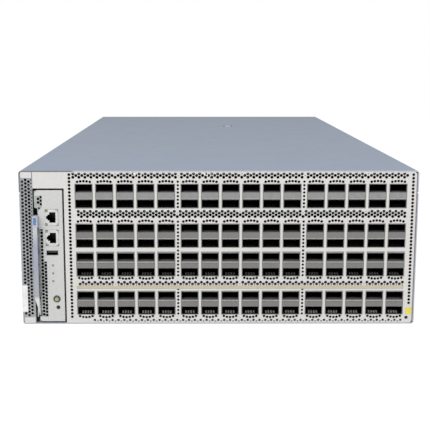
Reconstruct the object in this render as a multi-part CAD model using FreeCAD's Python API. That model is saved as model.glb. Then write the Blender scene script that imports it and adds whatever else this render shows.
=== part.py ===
"""A four-unit chassis switch: 64 stacked port cages, a control module with an
ejector lever, three fan trays and four power supplies, in a folded steel case.

Origin: centre of the case's underside. +X right seen from the front, the front
faces -Y, +Z up. All sizes in millimetres.
"""
import FreeCAD, Part
import math
import os

V = FreeCAD.Vector

# ---- case
WIDTH = 442.0            # passes between the posts of a 19-inch rack
HEIGHT = 175.0           # four rack units less running room
DEPTH = 800.0
SHEET = 1.2              # folded steel of the tray, cover and bays
PANEL = 1.5              # flat front and rear plates
BEND = 1.8               # inside radius of the folds
FIT = 0.1                # between fixed sheet pieces
RUN = 0.3                # each side of a module that slides
FLANGE = 12.0            # returns behind the front and rear plates
COVER_FLANGE = 24.0      # how far the cover laps down over the tray's sides
JOGGLE = 2.0             # height over which the tray's side steps inwards
BRACKET_HOLE_R = 2.1     # rack bracket holes in the tray's sides
BRACKET_IN = 30.0        # behind the case's front
BRACKET_Z = 40.0
BRACKET_RISE = 88.9
RETURN_IN = 4.0          # the returns end this far from the case's corners
PAD_W = 15.0             # pad in the cover
PAD_L = 26.0
PAD_X = 30.0
PAD_BACK = 575.0         # pad's middle behind the front
PAD_SUNK = 0.3
PAD_RIM = 3.0            # held under the sheet all round

# ---- port field
PORT_W = 18.4
PORT_H = 8.2
PORT_STEP = 9.6          # between the two ports of one cage
CAGE_WALL = 0.5
CAGE_DEPTH = 56.0
PORT_DEPTH = 46.0        # how far a transceiver slides in
CAGE_BACK = 0.3          # the cages' mouths sit this far behind the panel's face
COLUMN_GROUPS = (5, 6, 5)
COLUMN_BAR = 3.35        # panel between two neighbouring cages
GROUP_GAP = 3.3          # more of it between two groups of columns
FIELD_RIGHT = 13.45      # from the case's side to the last port
TOP_MARGIN = 15.2        # from the case's top to the first row of ports
BOTTOM_MARGIN = 11.3

# ---- boards
BOARD = 3.0
MIDDLE_BOARD_Z = 83.85   # underside
INNER_SEAT = 1.45        # strip between a cage and the middle board
OUTER_SEAT = 3.4         # strip between a cage and the upper or lower board
SEAT_DEPTH = 40.0
SEAT_BACK = 8.0          # seats start this far behind the cages' mouths
BOARD_IN = 6.8           # boards' edge from the case's inside
BOARD_BACK = 5.0         # boards' front edge behind the case's front
SHORT_BOARD = 160.0      # length of the upper and lower boards
BAR_ROOM = 110.0         # between the middle board and the power board
BOARD_SLOT_FIT = 0.2     # round the lower board's edge in the front panel
STANDOFF_R = 3.2
STANDOFF_IN = 20.0
STANDOFF_BACK = 90.0     # first row of posts behind the front
STANDOFF_END = 8.0       # second row, from the short boards' rear edge
LONG_POSTS = (30.0, 15.0)  # behind the bay, and before the middle board's end

# ---- switch chip
CHIP = 70.0
CHIP_H = 4.0
CHIP_X = 25.0
CHIP_BACK = 275.0        # chip's centre behind the front
SINK_W = 150.0
SINK_L = 160.0
SINK_BASE = 7.0
SINK_FIN = 1.6
SINK_FINS = 15
SINK_TOP_GAP = 8.0       # under the cover
RETIMER_W = 60.0
RETIMER_L = 50.0
RETIMER_H = 16.0
RETIMER_BASE = 3.0
RETIMER_FIN = 1.2
RETIMER_FINS = 4
RETIMER_BACK = 100.0
RETIMER_SHARES = (0.25, 0.75)  # places along the port field

# ---- control module and its bay
SEAM = 206.0             # side grille's inner edge, from the middle of the case
SLOT_W = 34.5
SLOT_TOP = 19.6          # from the case's top down to the slot
MODULE_GAP = 2.0         # round the faceplate in its slot
MODULE_BOARD = 1.6
MODULE_DEPTH = 240.0
BOARD_TRIM = 0.6         # module board's edges inside the faceplate's
BOARD_FROM_RIGHT = 4.1   # module board's middle from the faceplate's right edge
BAY_LENGTH = 248.0
BAY_CLEAR = 0.5          # bay beyond the slot's edges
BAY_TO_BOARD = 1.8       # from the bay's wall to the boards
BAY_GAP = 2.0            # between the front's return and the bay
BAY_FOOT = 5.0           # of its foot beyond the module's board
RIB = 1.2
RIB_H = 4.6
PLUG_T = 7.0             # module's rear plug and the socket it enters
PLUG_H = 18.0
PLUG_L = 14.0
PLUG_WALL = 2.0
FACE_TAB = 6.2           # height of the faceplate's tab over the shield
FACE_TAB_CUT = (2.5, 4.0)
FACE_FOOT_CUT = 2.0
# left side of the faceplate from top to bottom: in from its left edge, height
FACE_STEPS = ((8.0, 135.0), (3.6, 129.5), (3.6, 109.5), (8.3, 109.5),
              (8.3, 72.5), (11.8, 72.5), (11.8, 8.6), (3.0, 8.6))
SHIELD_LAP = 2.5         # shield hidden behind the faceplate's steps
SHIELD_LOW_W = 15.0
SHIELD_HIGH_W = 10.6
NOTCH_IN = 3.8           # open strip for the lever's leg
NOTCH_TOP = 31.0
EAR_BACK = 4.0           # ears behind and above the pivot
EAR_FOOT = 3.0
JACK_W = 17.9
JACK_T = 14.2            # off the module's board
JACK_DEPTH = 21.0
JACK_PROUD = 0.6
JACK_MOUTH_IN = 2.8      # from the board to the mouth
JACK_MOUTH_L = 16.0
# half of the mouth's outline: in from its straight side, half height
JACK_STEPS = ((0.0, 5.9), (6.9, 5.9), (6.9, 3.3), (8.9, 3.3), (8.9, 1.8), (10.4, 1.8))
JACK_Z = (99.6, 122.85)
USB_Z = 82.5
USB_W = 12.5
USB_H = 5.0
USB_WALL = 0.4
USB_DEPTH = 14.0
USB_TONGUE_BACK = 5.0
USB_TONGUE = (0.3, 1.9)  # over the mouth's middle
USB_IN = 1.2             # from the board to the mouth
USB_PROUD = 0.3
USB_LEG = 2.0
LIGHT_Z = (49.9, 59.0, 68.1)
LIGHT = 2.0              # side of a square lens
LIGHT_IN = 12.1          # from the faceplate's right edge
BUTTON_Z = 29.3
BUTTON_IN = 8.6
BUTTON_R = 2.2
BUTTON_OUT = 1.6
BUTTON_TRAVEL = 1.5
RESET_Z = 19.5
RESET_IN = 7.3
RESET_R = 1.65
RESET_SUNK = 0.6
RESET_TRAVEL = 0.8
KEY_FIT = 0.08           # radial, round the two buttons
SWITCH_BACK = 8.0        # push switches behind the faceplate
SWITCH = 6.0
LIGHT_BAR = 3.0
LIGHT_BAR_BACK = 5.0
LIGHT_PROUD = 0.2
COOLER_FINS = 8          # on the module's processor
COOLER_FIN = 1.2
COOLER_L = 44.0
COOLER_H = 44.0
COOLER_T = 14.0
COOLER_BASE = 3.0
COOLER_BACK = 90.0       # behind the front
COOLER_Z = 60.0

# ---- ejector lever
LEVER_W = 6.0
LEVER_TOP = 125.5
LEVER_T = 7.7
LEVER_WALL = 1.2
LEVER_LEG = 2.2          # thin lower end
LEVER_OFF = 0.8          # in front of the faceplate
TOUCH_LENGTH = 13.0
LEVER_BEND_Z = 30.0      # the beam's back leaves the faceplate below this height
LEVER_TAPER = (26.0, 42.0)  # heights over which its front slopes away
LEVER_FOOT = 4.0
LEVER_SHOULDERS = (33.0, 31.0, 24.0, 22.0)  # heights where the beam narrows to its leg
LEVER_CAP = 2.0          # solid end under the cap
LEG_OFF = 0.6            # leg's middle beside the beam's middle
BOSS = 2.4
BOSS_FLAT = 1.8
PIVOT_Z = 12.0
PIVOT_BACK = 4.6         # behind the faceplate's front
PIVOT_R = 1.5
PIVOT_FIT = 0.05

# ---- wrist strap jack in the front panel
BUSH_ACROSS = 7.0        # its hexagonal body
BUSH_BORE = 2.0
BUSH_LENGTH = 9.5
BUSH_IN = 8.6            # from the case's side
BUSH_Z = 7.3

# ---- power supplies
PSU_W = 73.5
PSU_H = 40.0
PSU_L = 185.0
PSU_SIDE = 2.05          # from the case's inside to the outer supply
PSU_GAP = 4.0            # between the two supplies of a pair
INLET_W = 24.6
INLET_H = 17.4
INLET_DEPTH = 20.0
INLET_IN = 4.5           # from the supply's left side
SUPPLY_HANDLE_IN = 9.0   # right of the supply's middle
BLADES = ((-7.0, -1.5), (0.0, 2.5), (7.0, -1.5))  # from the inlet's middle
BLADE_LENGTH = 8.0
BLADE_W = 2.0
BLADE_H = 4.0
EXHAUSTS = 5             # slots beside the inlet
EXHAUST_W = 3.2
EXHAUST_PITCH = 5.0
EXHAUST_H = 30.0
EXHAUST_IN = 4.0         # from the inlet to the first slot
EXHAUST_DEPTH = 3.0
SHELF = 3.0
POWER_BOARD_H = 62.0
POWER_BOARD_IN = 5.0     # from the case's inside
POWER_BOARD_LIFT = 1.5
SOCKET_DEPTH = 8.0
SOCKET_W = 44.0          # supplies' sockets
SOCKET_Z = (10.0, 26.0)
FAN_SOCKET_W = 32.0
FAN_SOCKET_H = 10.0
FAN_SOCKET_LIFT = 3.0
BAR = 3.0                # copper bars
BAR_W = 24.0
BAR_X = 40.0
BAR_Z = 30.0
BAR_LIFT = 14.0          # over the shelf
BAR_END = 20.0           # before the middle board's end
BAR_FOOT = 18.0

# ---- fan trays
FANS = 3
FAN_GAP = 5.1            # between two trays
FAN_TRAY_W = 140.4
FAN_TRAY_L = 160.0
FAN_PLUG_L = 12.0        # plug's hold on the tray's floor
REAR_RIM = 4.0           # of the rear plate above the fan trays
FAN_SIDE_CUT = 6.0       # tray's sides below its faceplate's top
FAN_FRAME = 120.0
FAN_DEPTH = 38.0
FAN_BACK = 4.0           # fan behind the tray's faceplate
FAN_RIM = 2.0            # frame outside the duct, at its narrowest
DUCT_FLATS = 32
FAN_HUB_R = 20.0
FAN_HUB_FLATS = 10
TIP_GAP = 1.5            # between the blades' tips and the duct
LIP = 1.2                # the openings between the struts are this much smaller than the duct
FAN_STRUT = 5.0          # thickness of the struts behind the duct
FAN_STRUT_W = 6.0
FAN_PLATE = 30.0         # side of the motor's plate
LIP_STEPS = 4            # chords of each opening's round side
FAN_BLADES = 5
BLADE_ROOT = 8.0         # its root reaches this far into the hub
ROTOR_IN = 2.0           # rotor behind the duct's mouth
ROTOR_GAP = 0.5          # and before the struts
SHAFT_L = 4.0
BLADE_CHORD = 36.0
BLADE_PITCH = 48.0       # degrees from the axis
BLADE_BEND = 3.0         # middle of the blade off its chord
BLADE_THICK = 2.0
FAN_SHAFT_R = 2.5
SHAFT_FIT = 0.05
GUARD_IN = 2.0           # guard's slots end this far inside the duct
GUARD_SLOT = 8.5
GUARD_PITCH = 12.0

# ---- pull handles and latches at the rear
HANDLE_OUT = 22.0
HANDLE_T = 4.0
HANDLE_W = 8.0
FAN_HANDLE = 76.0        # height of a fan tray's handle
FAN_HANDLE_IN = 7.0      # from the tray's left edge
SUPPLY_HANDLE_CUT = 4.0  # below and above a supply's handle
LATCH_H = 18.0
LATCH_OUT = 16.0
LATCH_IN = 6.0           # its root reaches this far in
LATCH_T = 2.0
LATCH_CORNER = 4.0
LATCH_ROOM = 2.0         # each side of the root, behind its slot
FAN_LATCH_IN = 6.5       # from the tray's right edge
SUPPLY_LATCH_IN = 5.5

# ---- places worked out from the sizes
FRONT = -DEPTH / 2
REAR = DEPTH / 2
SIDE = WIDTH / 2
INSIDE = SIDE - SHEET                       # inner face of the tray's side
LAP = INSIDE - FIT - SHEET                  # inner face above the joggle
ROOF = HEIGHT - SHEET                       # underside of the cover
JOGGLE_Z = HEIGHT - COVER_FLANGE - FIT - JOGGLE
CAGE_H = 2 * PORT_H + PORT_STEP + 2 * CAGE_WALL
MIDDLE_TOP = MIDDLE_BOARD_Z + BOARD
ROW_Z = (
    HEIGHT - TOP_MARGIN + CAGE_WALL - CAGE_H,
    MIDDLE_TOP + INNER_SEAT,
    MIDDLE_BOARD_Z - INNER_SEAT - CAGE_H,
    BOTTOM_MARGIN - CAGE_WALL,
)
UPPER_TOP = ROW_Z[0] - OUTER_SEAT
UPPER_BOARD_Z = UPPER_TOP - BOARD
LOWER_BOARD_Z = ROW_Z[3] + CAGE_H + OUTER_SEAT
LOWER_TOP = LOWER_BOARD_Z + BOARD
COLUMN_PITCH = PORT_W + 2 * CAGE_WALL + COLUMN_BAR
FIELD_W = (sum(COLUMN_GROUPS) - 1) * COLUMN_PITCH + (len(COLUMN_GROUPS) - 1) * GROUP_GAP + PORT_W
FIELD_X = SIDE - FIELD_RIGHT - FIELD_W
SLOT_RIGHT = -SIDE + (WIDTH / 2 - SEAM) + SLOT_W
SLOT_LEFT = SLOT_RIGHT - SLOT_W
SLOT_Z = HEIGHT - SLOT_TOP
BAY_WALL = SLOT_RIGHT + BAY_CLEAR           # bay's inner face
BAY_ROOF = SLOT_Z + BAY_CLEAR
BAY_BACK = FRONT + BAY_LENGTH
FACE_LEFT = SLOT_LEFT + MODULE_GAP
FACE_RIGHT = SLOT_RIGHT - MODULE_GAP
FACE_Z = SHEET + MODULE_GAP
FACE_TOP = SLOT_Z - MODULE_GAP
MODULE_X = FACE_RIGHT - BOARD_FROM_RIGHT    # middle of the module's board
BOARD_LEFT = BAY_WALL + SHEET + BAY_TO_BOARD
BOARD_RIGHT = INSIDE - BOARD_IN
PSU_Z = SHEET + RUN
SHELF_Z = PSU_Z + PSU_H + RUN
FAN_Z = SHELF_Z + SHELF + RUN
FAN_TOP = ROOF - REAR_RIM
FAN_CENTRE_Z = FAN_Z + SHEET + FAN_FRAME / 2
FAN_PITCH = FAN_TRAY_W + FAN_GAP
FAN_BORE_R = FAN_FRAME / 2 - FAN_RIM
FAN_TIP_R = FAN_BORE_R - TIP_GAP
FAN_LIP_R = FAN_BORE_R - LIP
GUARD_R = FAN_BORE_R - GUARD_IN
POWER_Y = REAR - PSU_L - RUN - SOCKET_DEPTH - BOARD
MIDDLE_END = POWER_Y - BAR_ROOM
LEVER_X = SLOT_LEFT + BAY_CLEAR + LEVER_W / 2
LEG_X = LEVER_X + LEG_OFF
PIVOT_Y = FRONT + PIVOT_BACK


# ---------------------------------------------------------------- tools for shapes
SAME = 0.01              # points closer than this are one


def block(x0, x1, y0, y1, z0, z1):
    return Part.makeBox(x1 - x0, y1 - y0, z1 - z0, V(x0, y0, z0))


def rod(radius, start, end):
    along = V(*end) - V(*start)
    return Part.makeCylinder(radius, along.Length, V(*start), along)


def ring_wire(points):
    """A closed wire through corner points."""
    return Part.makePolygon([V(*p) for p in points] + [V(*points[0])])


def prism(axis, outline, low, high, holes=()):
    """An outline in the plane across an axis, carried along it from low to high.

    Outline points are (x, z) for Y, (x, y) for Z and (y, z) for X.
    """
    place = {
        "X": lambda a, b: (low, a, b),
        "Y": lambda a, b: (a, low, b),
        "Z": lambda a, b: (a, b, low),
    }[axis]
    length = high - low
    travel = {"X": V(length, 0, 0), "Y": V(0, length, 0), "Z": V(0, 0, length)}[axis]
    wires = [ring_wire([place(a, b) for a, b in ring]) for ring in (outline, *holes)]
    return Part.makeFace(wires, "Part::FaceMakerBullseye").extrude(travel)


def rectangle(a0, a1, b0, b1):
    return [(a0, b0), (a1, b0), (a1, b1), (a0, b1)]


def regular(x, z, across, flats):
    """A regular polygon, measured across its flats; two of them are its top and bottom."""
    corner = across / 2 / math.cos(math.pi / flats)
    turns = [2 * math.pi * k / flats for k in range(flats)]
    return [(x + corner * math.cos(turn), z + corner * math.sin(turn)) for turn in turns]


def union(shapes):
    return shapes[0].multiFuse(shapes[1:]).removeSplitter()


def rounded(shape, axis, corners, radius):
    """Round the edges along an axis that stand on the given corners."""
    first, second = [name for name in "XYZ" if name != axis]

    def stands_on(edge, corner):
        return len(edge.Vertexes) == 2 and all(
            math.dist((getattr(end, first), getattr(end, second)), corner) < SAME for end in edge.Vertexes)

    return shape.makeFillet(radius, [
        edge for edge in shape.Edges if any(stands_on(edge, corner) for corner in corners)])


def comb(x, y0, y1, base_z, base, top_z, width, fins, fin):
    """A finned heat sink, one profile drawn along Y."""
    step = (width - fin) / (fins - 1)
    outline = [(x + width / 2, base_z), (x - width / 2, base_z)]
    for k in range(fins):
        left = x - width / 2 + k * step
        outline += [(left, base_z + base), (left, top_z), (left + fin, top_z), (left + fin, base_z + base)]
    outline = outline[:2] + outline[3:-1]
    return prism("Y", outline, y0, y1)


def side_pairs(values):
    return [sign * value for value in values for sign in (-1, 1)]


def port_columns():
    """Left edges of the port openings."""
    edges = []
    x = FIELD_X
    for group in COLUMN_GROUPS:
        for _ in range(group):
            edges.append(x)
            x += COLUMN_PITCH
        x += GROUP_GAP
    return edges


def end_plate_outline(left, right):
    """Outline of a plate in the case's open end, its corners cut clear of the folds."""
    floor = SHEET + FIT
    top = ROOF - FIT
    points = []
    for x, toward in ((right, -1), (left, 1)):
        cut = BEND * toward if abs(x) > LAP else 0.0
        corner = [(x + cut, floor), (x, floor + abs(cut)), (x, top - abs(cut)), (x + cut, top)]
        points += corner if toward < 0 else corner[::-1]
    return [point for k, point in enumerate(points) if point != points[k - 1]]


# ---------------------------------------------------------------- case
def chassis_tray():
    """Floor and sides folded from one sheet, the sides stepped in under the cover."""
    outer = LAP + SHEET
    top = ROOF - BEND
    right = [(SIDE, 0), (SIDE, JOGGLE_Z), (outer, JOGGLE_Z + JOGGLE), (outer, top),
             (LAP, top), (LAP, JOGGLE_Z + JOGGLE), (INSIDE, JOGGLE_Z), (INSIDE, SHEET)]
    left = [(-x, z) for x, z in reversed(right)]
    tray = prism("Y", right + left, FRONT, REAR)
    tray = rounded(tray, "Y", [(SIDE, 0), (-SIDE, 0)], BEND + SHEET)
    tray = rounded(tray, "Y", [(INSIDE, SHEET), (-INSIDE, SHEET)], BEND)
    holes = []
    for start in (FRONT, REAR - PANEL - FIT):
        holes.append(block(-SIDE, SIDE, start, start + PANEL + FIT, JOGGLE_Z, HEIGHT))
    y = FRONT + BRACKET_IN
    for z in (BRACKET_Z, BRACKET_Z + BRACKET_RISE):
        for start, end in ((-SIDE - 1, -INSIDE + 1), (INSIDE - 1, SIDE + 1)):
            holes.append(rod(BRACKET_HOLE_R, (start, y, z), (end, y, z)))
    return tray.cut(holes)


def top_cover():
    foot = HEIGHT - COVER_FLANGE
    outline = [(SIDE, foot), (SIDE, HEIGHT), (-SIDE, HEIGHT), (-SIDE, foot),
               (-INSIDE, foot), (-INSIDE, ROOF), (INSIDE, ROOF), (INSIDE, foot)]
    cover = prism("Y", outline, FRONT, REAR)
    cover = rounded(cover, "Y", [(SIDE, HEIGHT), (-SIDE, HEIGHT)], BEND + SHEET)
    cover = rounded(cover, "Y", [(INSIDE, ROOF), (-INSIDE, ROOF)], BEND)
    return cover.cut(pad_block(FIT, ROOF - 1, HEIGHT + 1))


def pad_block(grow, z0, z1):
    y = FRONT + PAD_BACK
    half_w, half_l = PAD_W / 2 + grow, PAD_L / 2 + grow
    return block(PAD_X - half_w, PAD_X + half_w, y - half_l, y + half_l, z0, z1)


def cover_pad():
    """Small pad a little below the cover's face; its rim lies under the sheet."""
    rim = pad_block(PAD_RIM, ROOF - SHEET, ROOF)
    return union([rim, pad_block(0, ROOF, HEIGHT - PAD_SUNK)])


def front_panel():
    """One plate with a cut-out for every cage, the module's slot and the board's edge."""
    right = INSIDE - FIT
    floor = SHEET + FIT
    outline = end_plate_outline(-SEAM + FIT, right)
    outline[-1:] = [(-SEAM + FIT, SLOT_Z), (SLOT_RIGHT, SLOT_Z), (SLOT_RIGHT, floor)]
    holes = []
    for x in port_columns():
        for z in ROW_Z:
            room = CAGE_WALL + FIT
            holes.append(rectangle(x - room, x + PORT_W + room, z - FIT, z + CAGE_H + FIT))
    gap = BOARD_SLOT_FIT
    holes.append(rectangle(FIELD_X - gap, FIELD_X + FIELD_W + gap, LOWER_BOARD_Z - gap, LOWER_TOP + gap))
    panel = prism("Y", outline, FRONT, FRONT + PANEL, holes)
    back = FRONT + PANEL
    end = LAP - RETURN_IN
    top_return = block(RETURN_IN - SEAM, end, back, back + FLANGE, ROOF - FIT - PANEL, ROOF - FIT)
    foot_return = block(SLOT_RIGHT, end, back, back + FLANGE, floor, floor + PANEL)
    panel = union([panel, top_return, foot_return])
    x, z = bush_place()
    return panel.cut(rod(BUSH_BORE, (x, FRONT - 1, z), (x, back + 1, z)))


def bush_place():
    return SIDE - BUSH_IN, BUSH_Z


def earth_jack():
    """Hexagonal blind bush for a wrist strap's plug, brazed behind a hole of the front panel."""
    x, z = bush_place()
    back = FRONT + PANEL
    bush = prism("Y", regular(x, z, BUSH_ACROSS, 6), back, back + BUSH_LENGTH)
    return bush.cut(rod(BUSH_BORE, (x, back - 1, z), (x, back + BUSH_LENGTH - 1, z)))


def side_grille():
    """Strip left of the module's slot, with a return that forms the slot's side."""
    left = -INSIDE + FIT
    right = -SEAM - FIT
    strip = prism("Y", end_plate_outline(left, right), FRONT, FRONT + PANEL)
    back = FRONT + PANEL
    side_return = block(right - SHEET, right, back, back + FLANGE, SHEET + FIT + RETURN_IN / 2, SLOT_Z)
    return strip.fuse(side_return)


def module_bay():
    """Wall and roof of the module's slot in one folded sheet, with ribs that guide its board."""
    front = FRONT + PANEL + FLANGE + BAY_GAP
    roof = BAY_ROOF
    outer = BAY_WALL + SHEET
    wall = block(BAY_WALL, outer, front, BAY_BACK, SHEET, roof + SHEET)
    top = block(-LAP, BAY_WALL, front, BAY_BACK, roof, roof + SHEET)
    foot = block(MODULE_X - BAY_FOOT, BAY_WALL, front, BAY_BACK, SHEET, 2 * SHEET)
    ribs = []
    for sign in (-1, 1):
        near = MODULE_X + sign * (MODULE_BOARD / 2 + RUN)
        x0, x1 = sorted((near, near + sign * RIB))
        ribs.append(block(x0, x1, front, BAY_BACK, 2 * SHEET, 2 * SHEET + RIB_H))
        ribs.append(block(x0, x1, front, BAY_BACK, roof - RIB_H, roof))
    return union([wall, top, foot, *ribs])


# ---------------------------------------------------------------- ports and boards
def cage(x, z):
    """A stacked pair of ports' shell, one sheet folded into a tube that is open at both ends."""
    face = FRONT + CAGE_BACK
    outer = rectangle(x - CAGE_WALL, x + PORT_W + CAGE_WALL, z, z + CAGE_H)
    inner = rectangle(x, x + PORT_W, z + CAGE_WALL, z + CAGE_H - CAGE_WALL)
    return prism("Y", outer, face, face + CAGE_DEPTH, [inner])


def cage_row(z):
    return [cage(x, z) for x in port_columns()]


def port_connector(x, z):
    """The divider between a cage's two ports, and the connector that closes their ends."""
    face = FRONT + CAGE_BACK
    end = face + PORT_DEPTH
    low, high = z + CAGE_WALL, z + CAGE_H - CAGE_WALL
    divider = block(x, x + PORT_W, face, end, low + PORT_H, high - PORT_H)
    return [divider, block(x, x + PORT_W, end, face + CAGE_DEPTH, low, high)]


def seat_strip(z0, z1):
    """The cages of one row stand on this strip of the board."""
    start = FRONT + CAGE_BACK + SEAT_BACK
    return block(FIELD_X, FIELD_X + FIELD_W, start, start + SEAT_DEPTH, z0, z1)


def board_sheet(z0, z1):
    return block(BOARD_LEFT, BOARD_RIGHT, FRONT + BOARD_BACK, FRONT + SHORT_BOARD, z0, z1)


def upper_board():
    board = board_sheet(UPPER_BOARD_Z, UPPER_TOP)
    return union([board, seat_strip(UPPER_TOP, ROW_Z[0])])


def lower_board():
    """Its front edge shows in a long slot of the front panel."""
    start = FRONT + CAGE_BACK
    tongue = block(FIELD_X, FIELD_X + FIELD_W, start, FRONT + BOARD_BACK, LOWER_BOARD_Z, LOWER_TOP)
    seat = seat_strip(ROW_Z[3] + CAGE_H, LOWER_BOARD_Z)
    return union([board_sheet(LOWER_BOARD_Z, LOWER_TOP), tongue, seat])


def middle_board():
    """Main board with the switch chip and the control module's socket."""
    start = FRONT + BOARD_BACK
    step = BAY_BACK + BAY_GAP
    outline = [(BOARD_LEFT, start), (BOARD_RIGHT, start), (BOARD_RIGHT, MIDDLE_END),
               (-BOARD_RIGHT, MIDDLE_END), (-BOARD_RIGHT, step), (BOARD_LEFT, step)]
    board = prism("Z", outline, MIDDLE_BOARD_Z, MIDDLE_TOP)
    upper_seat = seat_strip(MIDDLE_TOP, ROW_Z[1])
    lower_seat = seat_strip(ROW_Z[2] + CAGE_H, MIDDLE_BOARD_Z)
    chip_y = FRONT + CHIP_BACK
    chip = block(CHIP_X - CHIP / 2, CHIP_X + CHIP / 2, chip_y - CHIP / 2, chip_y + CHIP / 2,
                 MIDDLE_TOP, MIDDLE_TOP + CHIP_H)
    socket_y = FRONT + MODULE_DEPTH + RUN
    socket = block(MODULE_X - PLUG_T - PLUG_WALL, MODULE_X + PLUG_WALL, socket_y, BAY_BACK + FLANGE,
                   MIDDLE_TOP, MIDDLE_TOP + PLUG_H + 2 * PLUG_WALL)
    return union([board, upper_seat, lower_seat, chip, socket])


def chip_heat_sink():
    y = FRONT + CHIP_BACK
    return comb(CHIP_X, y - SINK_L / 2, y + SINK_L / 2, MIDDLE_TOP + CHIP_H, SINK_BASE,
                ROOF - SINK_TOP_GAP, SINK_W, SINK_FINS, SINK_FIN)


def retimer_heat_sinks():
    sinks = []
    for z in (UPPER_TOP, LOWER_TOP):
        for share in RETIMER_SHARES:
            x = FIELD_X + share * FIELD_W
            start = FRONT + RETIMER_BACK
            sinks.append(comb(x, start, start + RETIMER_L, z, RETIMER_BASE,
                              z + RETIMER_H, RETIMER_W, RETIMER_FINS, RETIMER_FIN))
    return sinks


def post(x, y, z0, z1):
    return prism("Z", regular(x, y, 2 * STANDOFF_R, 6), z0, z1)


def board_posts():
    """Hexagonal posts that carry the three boards."""
    xs = (BOARD_LEFT + STANDOFF_IN, BOARD_RIGHT - STANDOFF_IN)
    posts = []
    for y in (FRONT + STANDOFF_BACK, FRONT + SHORT_BOARD - STANDOFF_END):
        for x in xs:
            posts.append(post(x, y, SHEET, LOWER_BOARD_Z))
            posts.append(post(x, y, LOWER_TOP, MIDDLE_BOARD_Z))
            posts.append(post(x, y, MIDDLE_TOP, UPPER_BOARD_Z))
    for y in (BAY_BACK + LONG_POSTS[0], MIDDLE_END - LONG_POSTS[1]):
        for x in xs:
            posts.append(post(x, y, SHEET, MIDDLE_BOARD_Z))
    return posts


def power_board():
    """Upright board that the supplies and the fan trays plug into."""
    back = POWER_Y + BOARD
    side = INSIDE - POWER_BOARD_IN
    board = block(-side, side, POWER_Y, back, SHEET + POWER_BOARD_LIFT, POWER_BOARD_H)
    fan_low = FAN_Z + FAN_SOCKET_LIFT
    sockets = []
    for places, width, low, high in ((supply_places(), SOCKET_W, *SOCKET_Z),
                                     (fan_places(), FAN_SOCKET_W, fan_low, fan_low + FAN_SOCKET_H)):
        sockets += [block(x - width / 2, x + width / 2, back, back + SOCKET_DEPTH, low, high) for x in places]
    return union([board, *sockets])


def bus_bars():
    """Copper bars, bent up from the power board to the middle board's underside."""
    step = SHELF_Z + BAR_LIFT
    rise = MIDDLE_END - BAR_END
    under = MIDDLE_BOARD_Z - BAR
    outline = [(POWER_Y, BAR_Z), (POWER_Y, step + BAR), (rise, step + BAR), (rise, MIDDLE_BOARD_Z),
               (rise - BAR_FOOT, MIDDLE_BOARD_Z), (rise - BAR_FOOT, under), (rise - BAR, under),
               (rise - BAR, step), (POWER_Y - BAR, step), (POWER_Y - BAR, BAR_Z)]
    return [prism("X", outline, x - BAR_W / 2, x + BAR_W / 2) for x in side_pairs([BAR_X])]


# ---------------------------------------------------------------- rear bays
def supply_places():
    outer = INSIDE - PSU_SIDE - PSU_W / 2
    return sorted(side_pairs((outer, outer - PSU_W - PSU_GAP)))


def fan_places():
    return [(k - (FANS - 1) / 2) * FAN_PITCH for k in range(FANS)]


def rear_bays():
    """Shelf and guide walls between the fan trays above and the supplies below."""
    start = POWER_Y + BOARD
    front = start + SOCKET_DEPTH
    end = REAR - PANEL
    guides = []
    for x in supply_places():
        for sign in (-1, 1):
            near = x + sign * (PSU_W / 2 + RUN)
            x0, x1 = sorted((near, near + sign * SHEET))
            guides.append(block(x0, x1, front, end, SHEET + BEND, SHELF_Z))
    for x in fan_places():
        for sign in (-1, 1):
            near = x + sign * (FAN_TRAY_W / 2 + RUN)
            x0, x1 = sorted((near, near + sign * SHEET))
            guides.append(block(x0, x1, front, end, SHELF_Z + SHELF, FAN_TOP + RUN))
    shelf = block(-INSIDE + FIT, INSIDE - FIT, start, end, SHELF_Z, SHELF_Z + SHELF)
    return union([shelf, *guides])


def rear_frame():
    """Rear plate with an opening for each supply and fan tray."""
    edge = INSIDE - FIT
    holes = []
    for places, width, low, high in ((supply_places(), PSU_W, PSU_Z, SHELF_Z),
                                     (fan_places(), FAN_TRAY_W, SHELF_Z + SHELF, FAN_TOP + RUN)):
        half = width / 2 + RUN
        holes += [rectangle(x - half, x + half, low, high) for x in places]
    frame = prism("Y", end_plate_outline(-edge, edge), REAR - PANEL, REAR, holes)
    back = REAR - PANEL
    end = LAP - RETURN_IN
    top_return = block(-end, end, back - FLANGE, back, ROOF - FIT - PANEL, ROOF - FIT)
    middle = supply_places()[2] - PSU_W / 2 - RETURN_IN
    foot_return = block(-middle, middle, back - FLANGE, back, SHEET + FIT, SHEET + FIT + PANEL)
    return union([frame, top_return, foot_return])


# ---------------------------------------------------------------- control module
def face_outline():
    """White faceplate: its left side steps back to bare the shield."""
    tab = FACE_TOP - FACE_TAB
    cut_x, cut_z = FACE_TAB_CUT
    foot = FACE_STEPS[-1][0]
    outline = [(foot + FACE_FOOT_CUT, FACE_Z), (FACE_RIGHT - FACE_LEFT, FACE_Z),
               (FACE_RIGHT - FACE_LEFT, FACE_TOP), (cut_x, FACE_TOP), (0, FACE_TOP - cut_z), (0, tab),
               (FACE_STEPS[0][0], tab), *FACE_STEPS, (foot, FACE_Z + FACE_FOOT_CUT)]
    return [(FACE_LEFT + x, z) for x, z in outline]


def lever_notch():
    """Open strip of the module's face that the lever's leg moves through."""
    return FACE_LEFT + NOTCH_IN, NOTCH_TOP


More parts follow.
